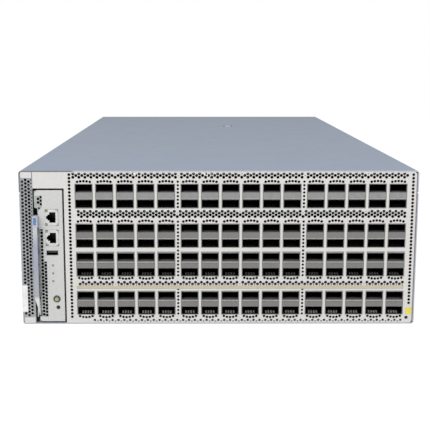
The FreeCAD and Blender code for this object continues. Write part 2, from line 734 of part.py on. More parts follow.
def module_faceplate():
    back = FRONT + PANEL
    face = prism("Y", face_outline(), FRONT, back)
    side_return = block(FACE_RIGHT - PANEL, FACE_RIGHT, back, back + FLANGE,
                        FACE_Z + FACE_FOOT_CUT, FACE_TOP - FACE_FOOT_CUT)
    cuts = [jack_block(z, FIT) for z in JACK_Z]
    cuts.append(usb_block(USB_WALL + FIT, FIT))
    cuts += [lens(z, FRONT - 1, back + 1, FIT) for z in LIGHT_Z]
    for x, z, radius in ((*button_place(), BUTTON_R + KEY_FIT), (*reset_place(), RESET_R + KEY_FIT)):
        cuts.append(rod(radius, (x, FRONT - 1, z), (x, back + 1, z)))
    return union([face, side_return]).cut(cuts)


def module_shield():
    """Bare sheet behind the faceplate, with the ears of the lever's pivot."""
    left = FACE_LEFT
    front = FRONT + PANEL
    back = front + SHEET
    notch_x, notch_z = lever_notch()
    high_step, low_step = FACE_STEPS[0][1], FACE_STEPS[4][1] + SHIELD_LAP
    low_right, high_right, inner = left + SHIELD_LOW_W, left + SHIELD_HIGH_W, left + SHIELD_LAP
    outline = [
        (notch_x, FACE_Z), (low_right, FACE_Z), (low_right, low_step), (high_right, low_step),
        (high_right, FACE_TOP - FACE_FOOT_CUT), (left, FACE_TOP - FACE_TAB_CUT[1] - 1),
        (left, high_step - 1), (inner, high_step - SHIELD_LAP), (inner, LEVER_TOP), (left, LEVER_TOP),
        (left, notch_z), (notch_x, notch_z),
    ]
    sheet = prism("Y", outline, front, back)
    ear_back, ear_low, ear_top = PIVOT_Y + EAR_BACK, FACE_Z + EAR_FOOT, PIVOT_Z + EAR_BACK
    near = LEVER_LEG / 2 + RUN
    far = near + SHEET
    ears = [block(x0, x1, front, ear_back, ear_low, ear_top)
            for x0, x1 in ((LEG_X - far, LEG_X - near), (LEG_X + near, LEG_X + far))]
    web = block(LEG_X - far, LEG_X + far, ear_back, ear_back + SHEET, ear_low, ear_top)
    bore = rod(PIVOT_R + PIVOT_FIT, (LEG_X - far, PIVOT_Y, PIVOT_Z), (LEG_X + far, PIVOT_Y, PIVOT_Z))
    return union([sheet, *ears, web]).cut(bore)


def module_board():
    """Upright board with its rear plug and the two push switches."""
    x0 = MODULE_X - MODULE_BOARD / 2
    x1 = MODULE_X + MODULE_BOARD / 2
    end = FRONT + MODULE_DEPTH
    board = block(x0, x1, FRONT + PANEL, end - PLUG_WALL, FACE_Z + BOARD_TRIM, FACE_TOP - BOARD_TRIM)
    plug_z = MIDDLE_TOP + PLUG_WALL
    plug = block(x0 - PLUG_T, x0, end - PLUG_L, end, plug_z, plug_z + PLUG_H)
    switches = []
    for x, z in (button_place(), reset_place()):
        start = FRONT + PANEL + SWITCH_BACK
        switches.append(block(x - SWITCH / 2, x0, start, start + SWITCH, z - SWITCH / 2, z + SWITCH / 2))
    return union([board, plug, *switches])


def jack_block(z, grow=0.0):
    x1 = MODULE_X - MODULE_BOARD / 2
    half = JACK_W / 2 + grow
    return block(x1 - JACK_T - grow, x1, FRONT - JACK_PROUD - grow, FRONT + JACK_DEPTH, z - half, z + half)


def network_jack(z):
    """Shielded jack turned on its side, the keyway of its mouth towards the lever."""
    x1 = MODULE_X - MODULE_BOARD / 2 - JACK_MOUTH_IN
    near = [(x1 - along, z - half) for along, half in JACK_STEPS]
    far = [(x1 - along, z + half) for along, half in reversed(JACK_STEPS)]
    mouth = prism("Y", near + far, FRONT - JACK_PROUD - 1, FRONT + JACK_MOUTH_L)
    return jack_block(z).cut(mouth)


def usb_right():
    """Right side of the serial bus mouth."""
    return MODULE_X - MODULE_BOARD / 2 - USB_IN


def usb_block(wall, proud=USB_PROUD):
    x1 = usb_right()
    return block(x1 - USB_W - wall, x1 + wall, FRONT - proud, FRONT + USB_DEPTH,
                 USB_Z - USB_H / 2 - wall, USB_Z + USB_H / 2 + wall)


def usb_socket():
    x1 = usb_right()
    back = FRONT + USB_DEPTH
    half = USB_H / 2
    mouth = block(x1 - USB_W, x1, FRONT - 1, back - 1, USB_Z - half, USB_Z + half)
    low, high = [USB_Z + rise for rise in USB_TONGUE]
    tongue = block(x1 - USB_W + 1, x1 - 1, FRONT + USB_TONGUE_BACK, back, low, high)
    leg = block(x1 + USB_WALL, MODULE_X - MODULE_BOARD / 2, back - 5 * USB_LEG, back,
                USB_Z - USB_LEG, USB_Z + USB_LEG)
    return union([usb_block(USB_WALL).cut(mouth), tongue, leg])


def lens(z, y0, y1, grow=0.0):
    x = FACE_RIGHT - LIGHT_IN
    half = LIGHT / 2 + grow
    return block(x - half, x + half, y0, y1, z - half, z + half)


def light_pipes():
    """Three lenses on one clear moulding that reaches the board's lamps."""
    x = FACE_RIGHT - LIGHT_IN
    start = FRONT + PANEL + LIGHT_BAR_BACK
    lenses = [lens(z, FRONT - LIGHT_PROUD, start) for z in LIGHT_Z]
    bar = block(x - LIGHT_BAR / 2, MODULE_X - MODULE_BOARD / 2, start, start + LIGHT_BAR,
                LIGHT_Z[0] - LIGHT, LIGHT_Z[-1] + LIGHT)
    return union([bar, *lenses])


def module_heat_sink():
    """Finned sink on the processor, standing off the upright board."""
    x1 = MODULE_X - MODULE_BOARD / 2
    base = x1 - COOLER_BASE
    tip = x1 - COOLER_T
    step = (COOLER_H - COOLER_FIN) / (COOLER_FINS - 1)
    outline = [(x1, COOLER_Z + COOLER_H), (x1, COOLER_Z)]
    for k in range(COOLER_FINS):
        low = COOLER_Z + k * step
        outline += [(base, low), (tip, low), (tip, low + COOLER_FIN), (base, low + COOLER_FIN)]
    outline = outline[:2] + outline[3:-1]
    return prism("Y", outline, FRONT + COOLER_BACK, FRONT + COOLER_BACK + COOLER_L)


def button_place():
    return FACE_RIGHT - BUTTON_IN, BUTTON_Z


def reset_place():
    return FACE_RIGHT - RESET_IN, RESET_Z


def push_button():
    """Round plunger that presses the switch behind it."""
    x, z = button_place()
    end = FRONT + PANEL + SWITCH_BACK - RUN - BUTTON_TRAVEL
    return rod(BUTTON_R, (x, FRONT - BUTTON_OUT, z), (x, end, z))


def reset_button():
    """Sunk plunger, pressed with a thin pin."""
    x, z = reset_place()
    end = FRONT + PANEL + SWITCH_BACK - RUN - RESET_TRAVEL
    return rod(RESET_R, (x, FRONT + RESET_SUNK, z), (x, end, z))


def lever_side():
    """The lever seen from the side: a straight beam that runs down into its pivot boss."""
    back = FRONT - LEVER_OFF
    front = back - LEVER_T
    slope_low, slope_high = LEVER_TAPER
    foot_front = FRONT - BOSS - LEVER_OFF
    return [(back, LEVER_TOP), (back, LEVER_BEND_Z),
            (PIVOT_Y + BOSS, PIVOT_Z + BOSS_FLAT), (PIVOT_Y + BOSS, PIVOT_Z - BOSS_FLAT),
            (PIVOT_Y - BOSS_FLAT, PIVOT_Z - BOSS), (foot_front, PIVOT_Z + LEVER_FOOT),
            (front + BOSS_FLAT, slope_low), (front, slope_high),
            (front, LEVER_TOP - LEVER_CAP - 1), (front + LEVER_CAP, LEVER_TOP)]


def lever_edges():
    return LEVER_X - LEVER_W / 2, LEVER_X + LEVER_W / 2


def ejector_lever():
    """A channel folded from sheet, open towards the module, with a thin leg at its pivot."""
    x0, x1 = lever_edges()
    in0, in1 = x0 + LEVER_WALL, x1 - LEVER_WALL
    leg0, leg1 = LEG_X - LEVER_LEG / 2, LEG_X + LEVER_LEG / 2
    joint = LEVER_TOP - TOUCH_LENGTH
    end = LEVER_TOP - LEVER_CAP
    right_high, left_high, right_low, left_low = LEVER_SHOULDERS
    outline = [(leg0, LEVER_FOOT), (leg1, LEVER_FOOT), (leg1, right_low), (x1, right_high),
               (x1, joint), (in1, joint), (in1, end), (in0, end), (in0, joint), (x0, joint),
               (x0, left_high), (leg0, left_low)]
    reach = 2 * LEVER_T
    plan = prism("Y", outline, FRONT - reach, FRONT + reach)
    beam = prism("X", lever_side(), x0 - 1, x1 + 1).common(plan)
    back = FRONT - LEVER_OFF
    web = back - LEVER_T + LEVER_WALL + 1
    channel = block(in0, in1, web, back + 1, LEVER_TAPER[1] - LEVER_CAP, joint - LEVER_FOOT)
    bore = rod(PIVOT_R + PIVOT_FIT, (leg0 - 1, PIVOT_Y, PIVOT_Z), (leg1 + 1, PIVOT_Y, PIVOT_Z))
    return beam.cut([channel, bore])


def lever_touch_point():
    """Coloured cap pressed over the lever's upper end."""
    x0, x1 = lever_edges()
    joint = LEVER_TOP - TOUCH_LENGTH
    start = FRONT - 2 * LEVER_T
    cap = prism("X", lever_side(), x0, x1).common(block(x0, x1, start, FRONT, joint, LEVER_TOP))
    wall = LEVER_WALL - PIVOT_FIT
    top = LEVER_TOP - LEVER_CAP + PIVOT_FIT
    return cap.cut(block(x0 + wall, x1 - wall, start, FRONT, joint - 1, top))


def lever_pivot_pin():
    gap = LEVER_LEG / 2 + RUN + SHEET
    return rod(PIVOT_R, (LEG_X - gap, PIVOT_Y, PIVOT_Z), (LEG_X + gap, PIVOT_Y, PIVOT_Z))


# ---------------------------------------------------------------- handles and latches
def pull_handle(x, z0, z1):
    """A strap bent into a bow, standing off the rear face, upright between two heights."""
    y0, y1 = REAR, REAR + HANDLE_OUT
    bend = HANDLE_T
    outline = [(y0, z0), (y1 - bend, z0), (y1, z0 + bend), (y1, z1 - bend), (y1 - bend, z1), (y0, z1),
               (y0, z1 - HANDLE_T), (y1 - HANDLE_T - bend / 2, z1 - HANDLE_T),
               (y1 - HANDLE_T, z1 - HANDLE_T - bend / 2), (y1 - HANDLE_T, z0 + HANDLE_T + bend / 2),
               (y1 - HANDLE_T - bend / 2, z0 + HANDLE_T), (y0, z0 + HANDLE_T)]
    return prism("X", outline, x - HANDLE_W / 2, x + HANDLE_W / 2)


def latch(x, z):
    """A sprung tab: its root passes in through a slot of the rear face and bends there."""
    y0, y1 = REAR - LATCH_IN, REAR + LATCH_OUT
    low, high = z - LATCH_H / 2, z + LATCH_H / 2
    cut = LATCH_CORNER
    outline = [(y0, low), (y1 - cut, low), (y1, low + cut), (y1, high - cut), (y1 - cut, high), (y0, high)]
    return prism("X", outline, x - LATCH_T / 2, x + LATCH_T / 2)


def latch_slot(x, z):
    half = LATCH_T / 2 + RUN
    reach = LATCH_H / 2 + RUN
    return block(x - half, x + half, REAR - PANEL - SAME, REAR + 1, z - reach, z + reach)


# ---------------------------------------------------------------- fan trays
def fan_latch_place(x):
    return x + FAN_TRAY_W / 2 - FAN_LATCH_IN, FAN_CENTRE_Z


def fan_tray(x):
    """Faceplate with a slotted guard and a handle, and the carrier behind it."""
    left, right = x - FAN_TRAY_W / 2, x + FAN_TRAY_W / 2
    back = REAR - PANEL
    half = GUARD_SLOT / 2
    count = int(GUARD_R / GUARD_PITCH)
    slots = []
    for k in range(-count, count + 1):
        off = k * GUARD_PITCH
        reach = math.sqrt(GUARD_R ** 2 - (abs(off) + half) ** 2)
        slots.append(rectangle(x + off - half, x + off + half, FAN_CENTRE_Z - reach, FAN_CENTRE_Z + reach))
    face = prism("Y", rectangle(left, right, FAN_Z, FAN_TOP), back, REAR, slots)
    floor = block(left, right, REAR - FAN_TRAY_L, back, FAN_Z, FAN_Z + SHEET)
    side_y = back - FAN_DEPTH - 2 * FAN_BACK
    sides = [block(edge, edge + SHEET, side_y, back, FAN_Z, FAN_TOP - FAN_SIDE_CUT)
             for edge in (left, right - SHEET)]
    plug = block(x - FAN_SOCKET_W / 2, x + FAN_SOCKET_W / 2, REAR - PSU_L, REAR - FAN_TRAY_L + FAN_PLUG_L,
                 FAN_Z, FAN_Z + FAN_SOCKET_LIFT + FAN_SOCKET_H)
    handle_x, handle_z = fan_handle_place(x)
    handle = pull_handle(handle_x, handle_z - FAN_HANDLE / 2, handle_z + FAN_HANDLE / 2)
    return union([face, floor, *sides, plug, handle]).cut(latch_slot(*fan_latch_place(x)))


def fan_handle_place(x):
    return x - FAN_TRAY_W / 2 + FAN_HANDLE_IN, FAN_CENTRE_Z


def fan_front():
    """Y of the fan's air inlet side."""
    return REAR - PANEL - FAN_BACK - FAN_DEPTH


def strut_openings(x, z):
    """The four openings round the motor's plate; their outer sides follow the duct."""
    plate, strut = FAN_PLATE / 2, FAN_STRUT_W / 2
    first = math.asin(strut / FAN_LIP_R)
    step = (math.pi / 2 - 2 * first) / LIP_STEPS
    turns = [first + k * step for k in range(LIP_STEPS + 1)]
    arc = [(FAN_LIP_R * math.cos(turn), FAN_LIP_R * math.sin(turn)) for turn in turns]
    quarter = [(plate, strut), *arc, (strut, plate), (plate, plate)]
    return [[(x + a * dx, z + b * dz) for dx, dz in quarter] for a in (-1, 1) for b in (-1, 1)]


def fan_housing(x):
    """Square frame round a duct of many flats; four struts behind it hold the motor's plate."""
    y0, y1 = fan_front(), fan_front() + FAN_DEPTH
    struts = y1 - FAN_STRUT
    half = FAN_FRAME / 2
    z = FAN_CENTRE_Z
    square = rectangle(x - half, x + half, z - half, z + half)
    frame = prism("Y", square, y0, struts, [regular(x, z, 2 * FAN_BORE_R, DUCT_FLATS)])
    spider = prism("Y", square, struts, y1, strut_openings(x, z))
    bearing = rod(FAN_SHAFT_R + SHAFT_FIT, (x, struts - 1, z), (x, struts + SHAFT_L, z))
    return union([frame, spider]).cut(bearing)


def fan_blade(low, high):
    """A blade standing out along +Z between two radii, its chord turned from the Y axis.

    Its section is bent twice, so that three flats follow the air's turn.
    """
    turn = math.radians(BLADE_PITCH)
    half, flat = BLADE_CHORD / 2, BLADE_CHORD / 6
    section = [(-half, 0), (-flat, BLADE_BEND), (flat, BLADE_BEND), (half, 0),
               (flat, BLADE_BEND + BLADE_THICK), (-flat, BLADE_BEND + BLADE_THICK)]
    outline = [(along * math.sin(turn) + off * math.cos(turn), along * math.cos(turn) - off * math.sin(turn))
               for along, off in section]
    return prism("Z", outline, low, high)


def fan_rotor(x):
    """Hub with its shaft and a ring of blades."""
    y0 = fan_front() + ROTOR_IN
    y1 = fan_front() + FAN_DEPTH - FAN_STRUT - ROTOR_GAP
    middle = (y0 + y1) / 2
    half = (y1 - y0) / 2
    tip_half = BLADE_CHORD / 2 * math.sin(math.radians(BLADE_PITCH))
    blade = fan_blade(FAN_HUB_R - BLADE_ROOT, math.sqrt(FAN_TIP_R ** 2 - tip_half ** 2))
    hub = prism("Y", regular(0, 0, 2 * FAN_HUB_R, FAN_HUB_FLATS), -half, half)
    shaft = rod(FAN_SHAFT_R, (0, half, 0), (0, half + SHAFT_L, 0))
    blades = []
    for k in range(FAN_BLADES):
        copy = blade.copy()
        copy.rotate(V(0, 0, 0), V(0, 1, 0), 360.0 * k / FAN_BLADES)
        blades.append(copy)
    rotor = union([hub, shaft, *blades])
    rotor.translate(V(x, middle, FAN_CENTRE_Z))
    return rotor


# ---------------------------------------------------------------- power supplies
def supply_latch_place(x):
    return x + PSU_W / 2 - SUPPLY_LATCH_IN, PSU_Z + PSU_H / 2


def power_supply(x):
    """Closed case with a mains inlet, an exhaust grille and a latch's slot in its rear face."""
    z = PSU_Z + PSU_H / 2
    case = block(x - PSU_W / 2, x + PSU_W / 2, REAR - PSU_L, REAR, PSU_Z, PSU_Z + PSU_H)
    left = x - PSU_W / 2 + INLET_IN
    floor = REAR - INLET_DEPTH
    cuts = [block(left, left + INLET_W, floor, REAR + 1, z - INLET_H / 2, z + INLET_H / 2)]
    slot_x = left + INLET_W + EXHAUST_IN
    for _ in range(EXHAUSTS):
        cuts.append(block(slot_x, slot_x + EXHAUST_W, REAR - EXHAUST_DEPTH, REAR + 1,
                          z - EXHAUST_H / 2, z + EXHAUST_H / 2))
        slot_x += EXHAUST_PITCH
    blades = []
    for dx, dz in BLADES:
        blade_x, blade_z = left + INLET_W / 2 + dx, z + dz
        blades.append(block(blade_x - BLADE_W / 2, blade_x + BLADE_W / 2, floor - 1, floor + BLADE_LENGTH,
                            blade_z - BLADE_H / 2, blade_z + BLADE_H / 2))
    lx, lz = supply_latch_place(x)
    half = LATCH_T / 2 + LATCH_ROOM
    reach = LATCH_H / 2 + RUN
    pocket = block(lx - half, lx + half, REAR - LATCH_IN - RUN, REAR - PANEL, lz - reach, lz + reach)
    return union([case.cut(cuts), *blades]).cut([latch_slot(lx, lz), pocket])


def supply_handle(x):
    """Upright bow over the exhaust grille."""
    low, high = PSU_Z + SUPPLY_HANDLE_CUT, PSU_Z + PSU_H - SUPPLY_HANDLE_CUT
    return pull_handle(x + SUPPLY_HANDLE_IN, low, high)


# ---------------------------------------------------------------- all pieces
def pieces():
    made = {
        "chassis_tray": chassis_tray(),
        "top_cover": top_cover(),
        "cover_pad": cover_pad(),
        "front_panel": front_panel(),
        "earth_jack": earth_jack(),
        "side_grille": side_grille(),
        "module_bay": module_bay(),
        "upper_board": upper_board(),
        "middle_board": middle_board(),
        "lower_board": lower_board(),
        "chip_heat_sink": chip_heat_sink(),
        "retimer_heat_sinks": retimer_heat_sinks(),
        "board_posts": board_posts(),
        "power_board": power_board(),
        "bus_bars": bus_bars(),
        "rear_bays": rear_bays(),
        "rear_frame": rear_frame(),
        "module_faceplate": module_faceplate(),
        "module_shield": module_shield(),
        "module_board": module_board(),
        "lower_network_jack": network_jack(JACK_Z[0]),
        "upper_network_jack": network_jack(JACK_Z[1]),
        "usb_socket": usb_socket(),
        "light_pipes": light_pipes(),
        "module_heat_sink": module_heat_sink(),
        "push_button": push_button(),
        "reset_button": reset_button(),
        "ejector_lever": ejector_lever(),
        "lever_touch_point": lever_touch_point(),
        "lever_pivot_pin": lever_pivot_pin(),
    }
    columns = [(x, z) for z in ROW_Z for x in port_columns()]
    made["port_connectors"] = [body for x, z in columns for body in port_connector(x, z)]
    for number, z in enumerate(ROW_Z, 1):
        made[f"cages_row_{number}"] = cage_row(z)
    for number, x in enumerate(fan_places(), 1):
        made[f"fan_tray_{number}"] = fan_tray(x)
        made[f"fan_housing_{number}"] = fan_housing(x)
        made[f"fan_rotor_{number}"] = fan_rotor(x)
        made[f"fan_latch_{number}"] = latch(*fan_latch_place(x))
    for number, x in enumerate(supply_places(), 1):
        made[f"supply_case_{number}"] = power_supply(x)
        made[f"supply_handle_{number}"] = supply_handle(x)
        made[f"supply_latch_{number}"] = latch(*supply_latch_place(x))
    return made


def main():
    os.makedirs("parts", exist_ok=True)
    for name, shape in pieces().items():
        if isinstance(shape, list):
            shape = Part.makeCompound(shape)
        shape.exportStep(f"parts/{name}.step")
        print(name, len(shape.Solids), "solids", "valid" if shape.isValid() else "NOT VALID")


main()
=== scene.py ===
# %% [markdown]
# # A modular chassis switch
# The real object is a deep steel case for a rack. Its face is a field of small
# port cages between bands of air holes, and a control module stands in a slot
# on the left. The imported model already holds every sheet, cage and hinge at its
# true place, so it is loaded as a fixed frame and never moved. This lesson adds
# what such a model leaves out: holes punched in the sheets, fasteners, contacts,
# fan blades and the finish of every surface. Loading the frame first means that
# each new piece can take its place from a node's box and not from a guess.

# %% Load the frame and keep its box
import math

import bmesh
import bpy
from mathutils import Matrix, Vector


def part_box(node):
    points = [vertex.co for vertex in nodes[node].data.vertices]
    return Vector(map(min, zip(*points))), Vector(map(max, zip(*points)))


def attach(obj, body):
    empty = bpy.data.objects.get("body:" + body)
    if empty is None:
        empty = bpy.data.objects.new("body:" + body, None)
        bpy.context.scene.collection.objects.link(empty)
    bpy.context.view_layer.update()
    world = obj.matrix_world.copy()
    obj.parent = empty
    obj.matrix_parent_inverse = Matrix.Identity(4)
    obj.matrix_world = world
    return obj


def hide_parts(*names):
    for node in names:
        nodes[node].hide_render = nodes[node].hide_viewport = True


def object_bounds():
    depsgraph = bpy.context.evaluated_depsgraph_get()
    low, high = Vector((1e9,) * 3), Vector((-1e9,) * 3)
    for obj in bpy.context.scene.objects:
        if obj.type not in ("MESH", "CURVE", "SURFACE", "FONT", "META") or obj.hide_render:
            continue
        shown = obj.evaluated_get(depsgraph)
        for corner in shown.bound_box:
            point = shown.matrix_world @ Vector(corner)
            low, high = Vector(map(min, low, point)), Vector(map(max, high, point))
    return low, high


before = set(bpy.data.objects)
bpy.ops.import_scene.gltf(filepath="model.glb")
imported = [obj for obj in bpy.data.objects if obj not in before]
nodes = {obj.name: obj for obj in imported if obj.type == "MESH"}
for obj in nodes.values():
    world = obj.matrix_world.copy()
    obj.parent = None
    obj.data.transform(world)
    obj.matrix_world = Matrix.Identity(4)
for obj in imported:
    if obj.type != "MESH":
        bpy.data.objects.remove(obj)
cad_low, cad_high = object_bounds()
MM = 0.001
scene = bpy.context.scene
print("nodes:", len(nodes), "size in mm:", [round(side / MM, 1) for side in cad_high - cad_low])

# %% [markdown]
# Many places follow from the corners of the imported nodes. A cage row, for one,
# is sixteen boxes of one width, so its sorted x coordinates give every cage's
# left and right edge in turn. Reading them keeps the visual pieces on the
# model even when a size of the model changes.


# %% Sizes in millimetres, and coordinates read off a node
def mm(*sizes):
    """Sizes given in millimetres, in the metres that Blender works in."""
    return tuple(size * MM for size in sizes)


def levels(node, axis):
    """The different coordinates of a node's corners along one axis, in order."""
    return sorted({round(corner.co[axis], 5) for corner in nodes[node].data.vertices})


def middle_of(low, high):
    """The middle of a box, as its x, y and z."""
    return [(a + b) / 2 for a, b in zip(low, high)]


cage_sides = levels("cages_row_1", 0)
cages = [(cage_sides[k], cage_sides[k + 3]) for k in range(0, len(cage_sides), 4)]
rows = [levels(f"cages_row_{number}", 2) for number in (1, 2, 3, 4)]
cage_wall = cage_sides[1] - cage_sides[0]
face_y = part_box("front_panel")[0].y
rear_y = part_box("rear_frame")[1].y
gaps = [(cages[k][1], cages[k + 1][0]) for k in range(len(cages) - 1)]
plain_gap = min(right - left for left, right in gaps)
wide_gaps = [(left + right) / 2 for left, right in gaps if right - left > plain_gap + MM]
print("cages:", len(cages), "wide gaps at mm:", [round(x / MM, 1) for x in wide_gaps])

# %% [markdown]
# ## Finishes
# Powder coat, zinc plated sheet, moulded plastic and board laminate all look
# different close by: the coat has a fine orange peel, zinc has grains that
# reflect in patches, plastic has a matt grain. Each finish is one Principled
# shader, with noise that shifts its colour and roughness a little and a faint
# bump. Noise on Object coordinates keeps the grain at its true size and makes
# it stay with its piece when a joint moves.


# %% The parts that every finish shares
NOISE_LOW, NOISE_HIGH = 0.35, 0.65


def colour(red, green, blue):
    """A colour given in 0-255 steps, as the linear values that a shader takes."""
    steps = [value / 255 for value in (red, green, blue)]
    linear = [v / 12.92 if v <= 0.04045 else ((v + 0.055) / 1.055) ** 2.4 for v in steps]
    return (*linear, 1.0)


def scaled(base, factor):
    """A colour made darker or lighter by a factor."""
    return (*(min(1.0, channel * factor) for channel in base[:3]), 1.0)


def feed(tree, socket, value):
    """Wire an output into an input, or set the input to a plain value."""
    if isinstance(value, bpy.types.NodeSocket):
        tree.links.new(value, socket)
    else:
        socket.default_value = value


def add_node(tree, kind, inputs=None, **settings):
    """A new node of a tree, with its properties set and its inputs fed."""
    node = tree.nodes.new(kind)
    for name, value in settings.items():
        setattr(node, name, value)
    for name, value in (inputs or {}).items():
        feed(tree, node.inputs[name], value)
    return node


class Finish:
    """A node material with one Principled shader and helpers that wire its nodes."""

    def __init__(self, name, rgb, roughness, metallic=0.0):
        self.material = bpy.data.materials.new(name)
        self.material.use_nodes = True
        self.tree = self.material.node_tree
        self.base = colour(*rgb)
        self.paint(self.base)
        self.shade("Roughness", roughness)
        self.shade("Metallic", metallic)
        self.place = self.add("ShaderNodeTexCoord").outputs["Object"]

    def add(self, kind, inputs=None, **settings):
        return add_node(self.tree, kind, inputs, **settings)

    def shade(self, name, value):
        """Feed one input of the shader."""
        feed(self.tree, self.tree.nodes["Principled BSDF"].inputs[name], value)

    def paint(self, tone):
        """Make a tone the shader's colour, and hand it on to the next blend."""
        self.shade("Base Color", tone)
        self.tone = tone
        return tone

    def noise(self, size, detail=2.0, along=None):
        """Noise whose blobs are about one size across, in metres."""
        inputs = {"Scale": 1.0 / size, "Detail": detail, "Vector": along or self.place}
        return self.add("ShaderNodeTexNoise", inputs).outputs["Fac"]

    def spread(self, value, start, end, low=0.0, high=1.0):
        """A value that runs from start to end, spread from low to high."""
        inputs = {"Value": value, "From Min": start, "From Max": end, "To Min": low, "To Max": high}
        return self.add("ShaderNodeMapRange", inputs).outputs["Result"]

    def blend(self, share, first, second):
        """A colour between two, by a share; either may be a socket or a value."""
        return self.add("ShaderNodeMix", {0: share, 6: first, 7: second}, data_type="RGBA").outputs[2]

    def tint(self, amount, size, along=None):
        """Shift the base colour down and up by a small amount over broad patches."""
        share = self.spread(self.noise(size, along=along), NOISE_LOW, NOISE_HIGH)
        return self.paint(self.blend(share, scaled(self.base, 1 - amount), scaled(self.base, 1 + amount)))

    def fade(self, axis, start, end, first, second):
        """Blend two colours between two places on an axis, "X", "Y" or "Z"."""
        axes = self.add("ShaderNodeSeparateXYZ", {"Vector": self.place})
        return self.paint(self.blend(self.spread(axes.outputs[axis], start, end), first, second))

    def gloss(self, low, high, size, along=None):
        """Let the roughness wander between two values."""
        self.shade("Roughness", self.spread(self.noise(size, along=along), NOISE_LOW, NOISE_HIGH, low, high))

    def bump(self, relief, height, strength):
        """Raise the surface by a pattern, without changing its shape."""
        inputs = {"Height": relief, "Distance": height, "Strength": strength}
        self.shade("Normal", self.add("ShaderNodeBump", inputs).outputs["Normal"])

    def grain(self, size, height, strength=0.5, along=None):
        """A fine bump from noise."""
        self.bump(self.noise(size, 3.0, along), height, strength)


print("finish helpers are ready")

# %% [markdown]
# Painted sheet: the face is off-white powder coat and the case a light blue
# grey. Both are made by one function, because only the colour and the gloss
# differ. The orange peel is a bump a few hundredths of a millimetre high, and
# the roughness wanders too, so that highlights are not even.


# %% Powder coats
def powder_coat(name, rgb, roughness=0.42):
    coat = Finish(name, rgb, roughness)
    coat.tint(0.015, 60 * MM)
    coat.gloss(roughness - 0.02, roughness + 0.03, 18 * MM)
    coat.grain(0.9 * MM, 0.03 * MM, 0.35)
    return coat


COVER = (167, 180, 201)
white_paint = powder_coat("white_paint", (220, 218, 215))
module_paint = powder_coat("module_paint", (208, 209, 207), 0.4)
cover_paint = powder_coat("cover_paint", COVER, 0.38)
tray_paint = powder_coat("tray_paint", (182, 187, 195), 0.4)
print("materials so far:", len(bpy.data.materials))

# %% [markdown]
# Bare sheet: zinc plating dries in grains a few millimetres wide, each with its
# own brightness. A Voronoi texture gives such cells. Rolled aluminium has fine
# lines along one side instead, so its noise is drawn out along that side.


# %% Bare metals
def zinc(name, rgb, grain_size=4 * MM):
    sheet = Finish(name, rgb, 0.4, 0.85)
    cells = sheet.add("ShaderNodeTexVoronoi", {"Scale": 1.0 / grain_size, "Vector": sheet.place})
    split = sheet.add("ShaderNodeSeparateColor", {"Color": cells.outputs["Color"]})
    sheet.paint(sheet.blend(split.outputs["Red"], scaled(sheet.base, 0.82), sheet.base))
    sheet.gloss(0.32, 0.5, 9 * MM)
    sheet.grain(1.5 * MM, 0.02 * MM, 0.3)
    return sheet


def rolled(name, rgb, roughness, sides):
    """Metal whose grain is drawn out along the side where its pattern is scaled down."""
    metal = Finish(name, rgb, roughness, 1.0)
    lines = metal.add("ShaderNodeMapping", {"Vector": metal.place, "Scale": sides}).outputs["Vector"]
    metal.tint(0.08, 2 * MM, lines)
    metal.gloss(roughness - 0.07, roughness + 0.1, 1.5 * MM, lines)
    metal.grain(0.5 * MM, 0.01 * MM, 0.4, lines)
    return metal


ALONG_Y = (1.0, 0.04, 1.0)
ALONG_X = (0.04, 1.0, 1.0)
steel = zinc("steel", (178, 180, 182))
shield_steel = zinc("shield_steel", (188, 192, 189), 6 * MM)
strip_steel = zinc("strip_steel", (172, 173, 174), 5 * MM)
# The lip steel is lighter than the divider steel as a painted highlight.
lip_steel = zinc("lip_steel", (188, 189, 187), 3 * MM)
edge_steel = zinc("edge_steel", (152, 151, 155), 5 * MM)
aluminium = rolled("aluminium", (186, 188, 190), 0.34, ALONG_Y)
copper = rolled("copper", (196, 128, 92), 0.3, ALONG_X)
gold = rolled("gold", (206, 168, 88), 0.28, ALONG_Y)
brass = rolled("brass", (190, 164, 104), 0.32, ALONG_X)
screw_steel = rolled("screw_steel", (150, 152, 156), 0.36, ALONG_X)
print("materials so far:", len(bpy.data.materials))

# %% [markdown]
# Some finishes carry painted light and shade that change with their place on
# the piece. The cages are bright on the rim that faces the room and get
# painted shade within a few millimetres, where their pockets run far back
# between black sockets; the dividers, jacks and spring fingers get painted
# shade in the same way. The cover's front edge has painted shade at its left
# end and a painted highlight over the ports, and the lever carries a painted
# reflection along its height, near white at its foot. Each is one blend along
# an axis of the object's own coordinates, so it looks the same from every side.


# %% Finishes that change along an axis
def plating(name, rim, shade_inside, front, depth, metallic=0.6, lower=None):
    """Plated steel, bright on its rim, with painted shade that darkens its inside with depth; lower gives
    painted shade to the parts below the top row.
    """
    plated = Finish(name, rim, 0.42, metallic)
    tone = plated.tint(0.06, 5 * MM)
    if lower:
        tone = plated.fade("Z", rows[1][-1], rows[0][0], colour(*lower), tone)
    plated.fade("Y", front, front + depth, tone, colour(*shade_inside))
    plated.gloss(0.36, 0.5, 6 * MM)
    plated.grain(1.2 * MM, 0.02 * MM, 0.3)
    return plated


jack_low, jack_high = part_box("lower_network_jack")
# The cages get painted shade that darkens their metal a few millimetres into each pocket.
cage_steel = plating("cage_steel", (150, 151, 149), (14, 14, 15), face_y, 2.2 * MM)
# The dividers get painted shade deeper in their pockets, and darker painted shade in every row below the top
# one.
divider_steel = plating("divider_steel", (146, 147, 146), (26, 26, 27), face_y + 2 * MM, 6 * MM, 0.3,
                        lower=(127, 126, 124))
# The jacks' and the serial socket's metal gets painted shade, near black about a millimetre into their
# mouths.
jack_steel = plating("jack_steel", (214, 216, 212), (12, 12, 12), jack_low.y, 1.2 * MM, 0.2)

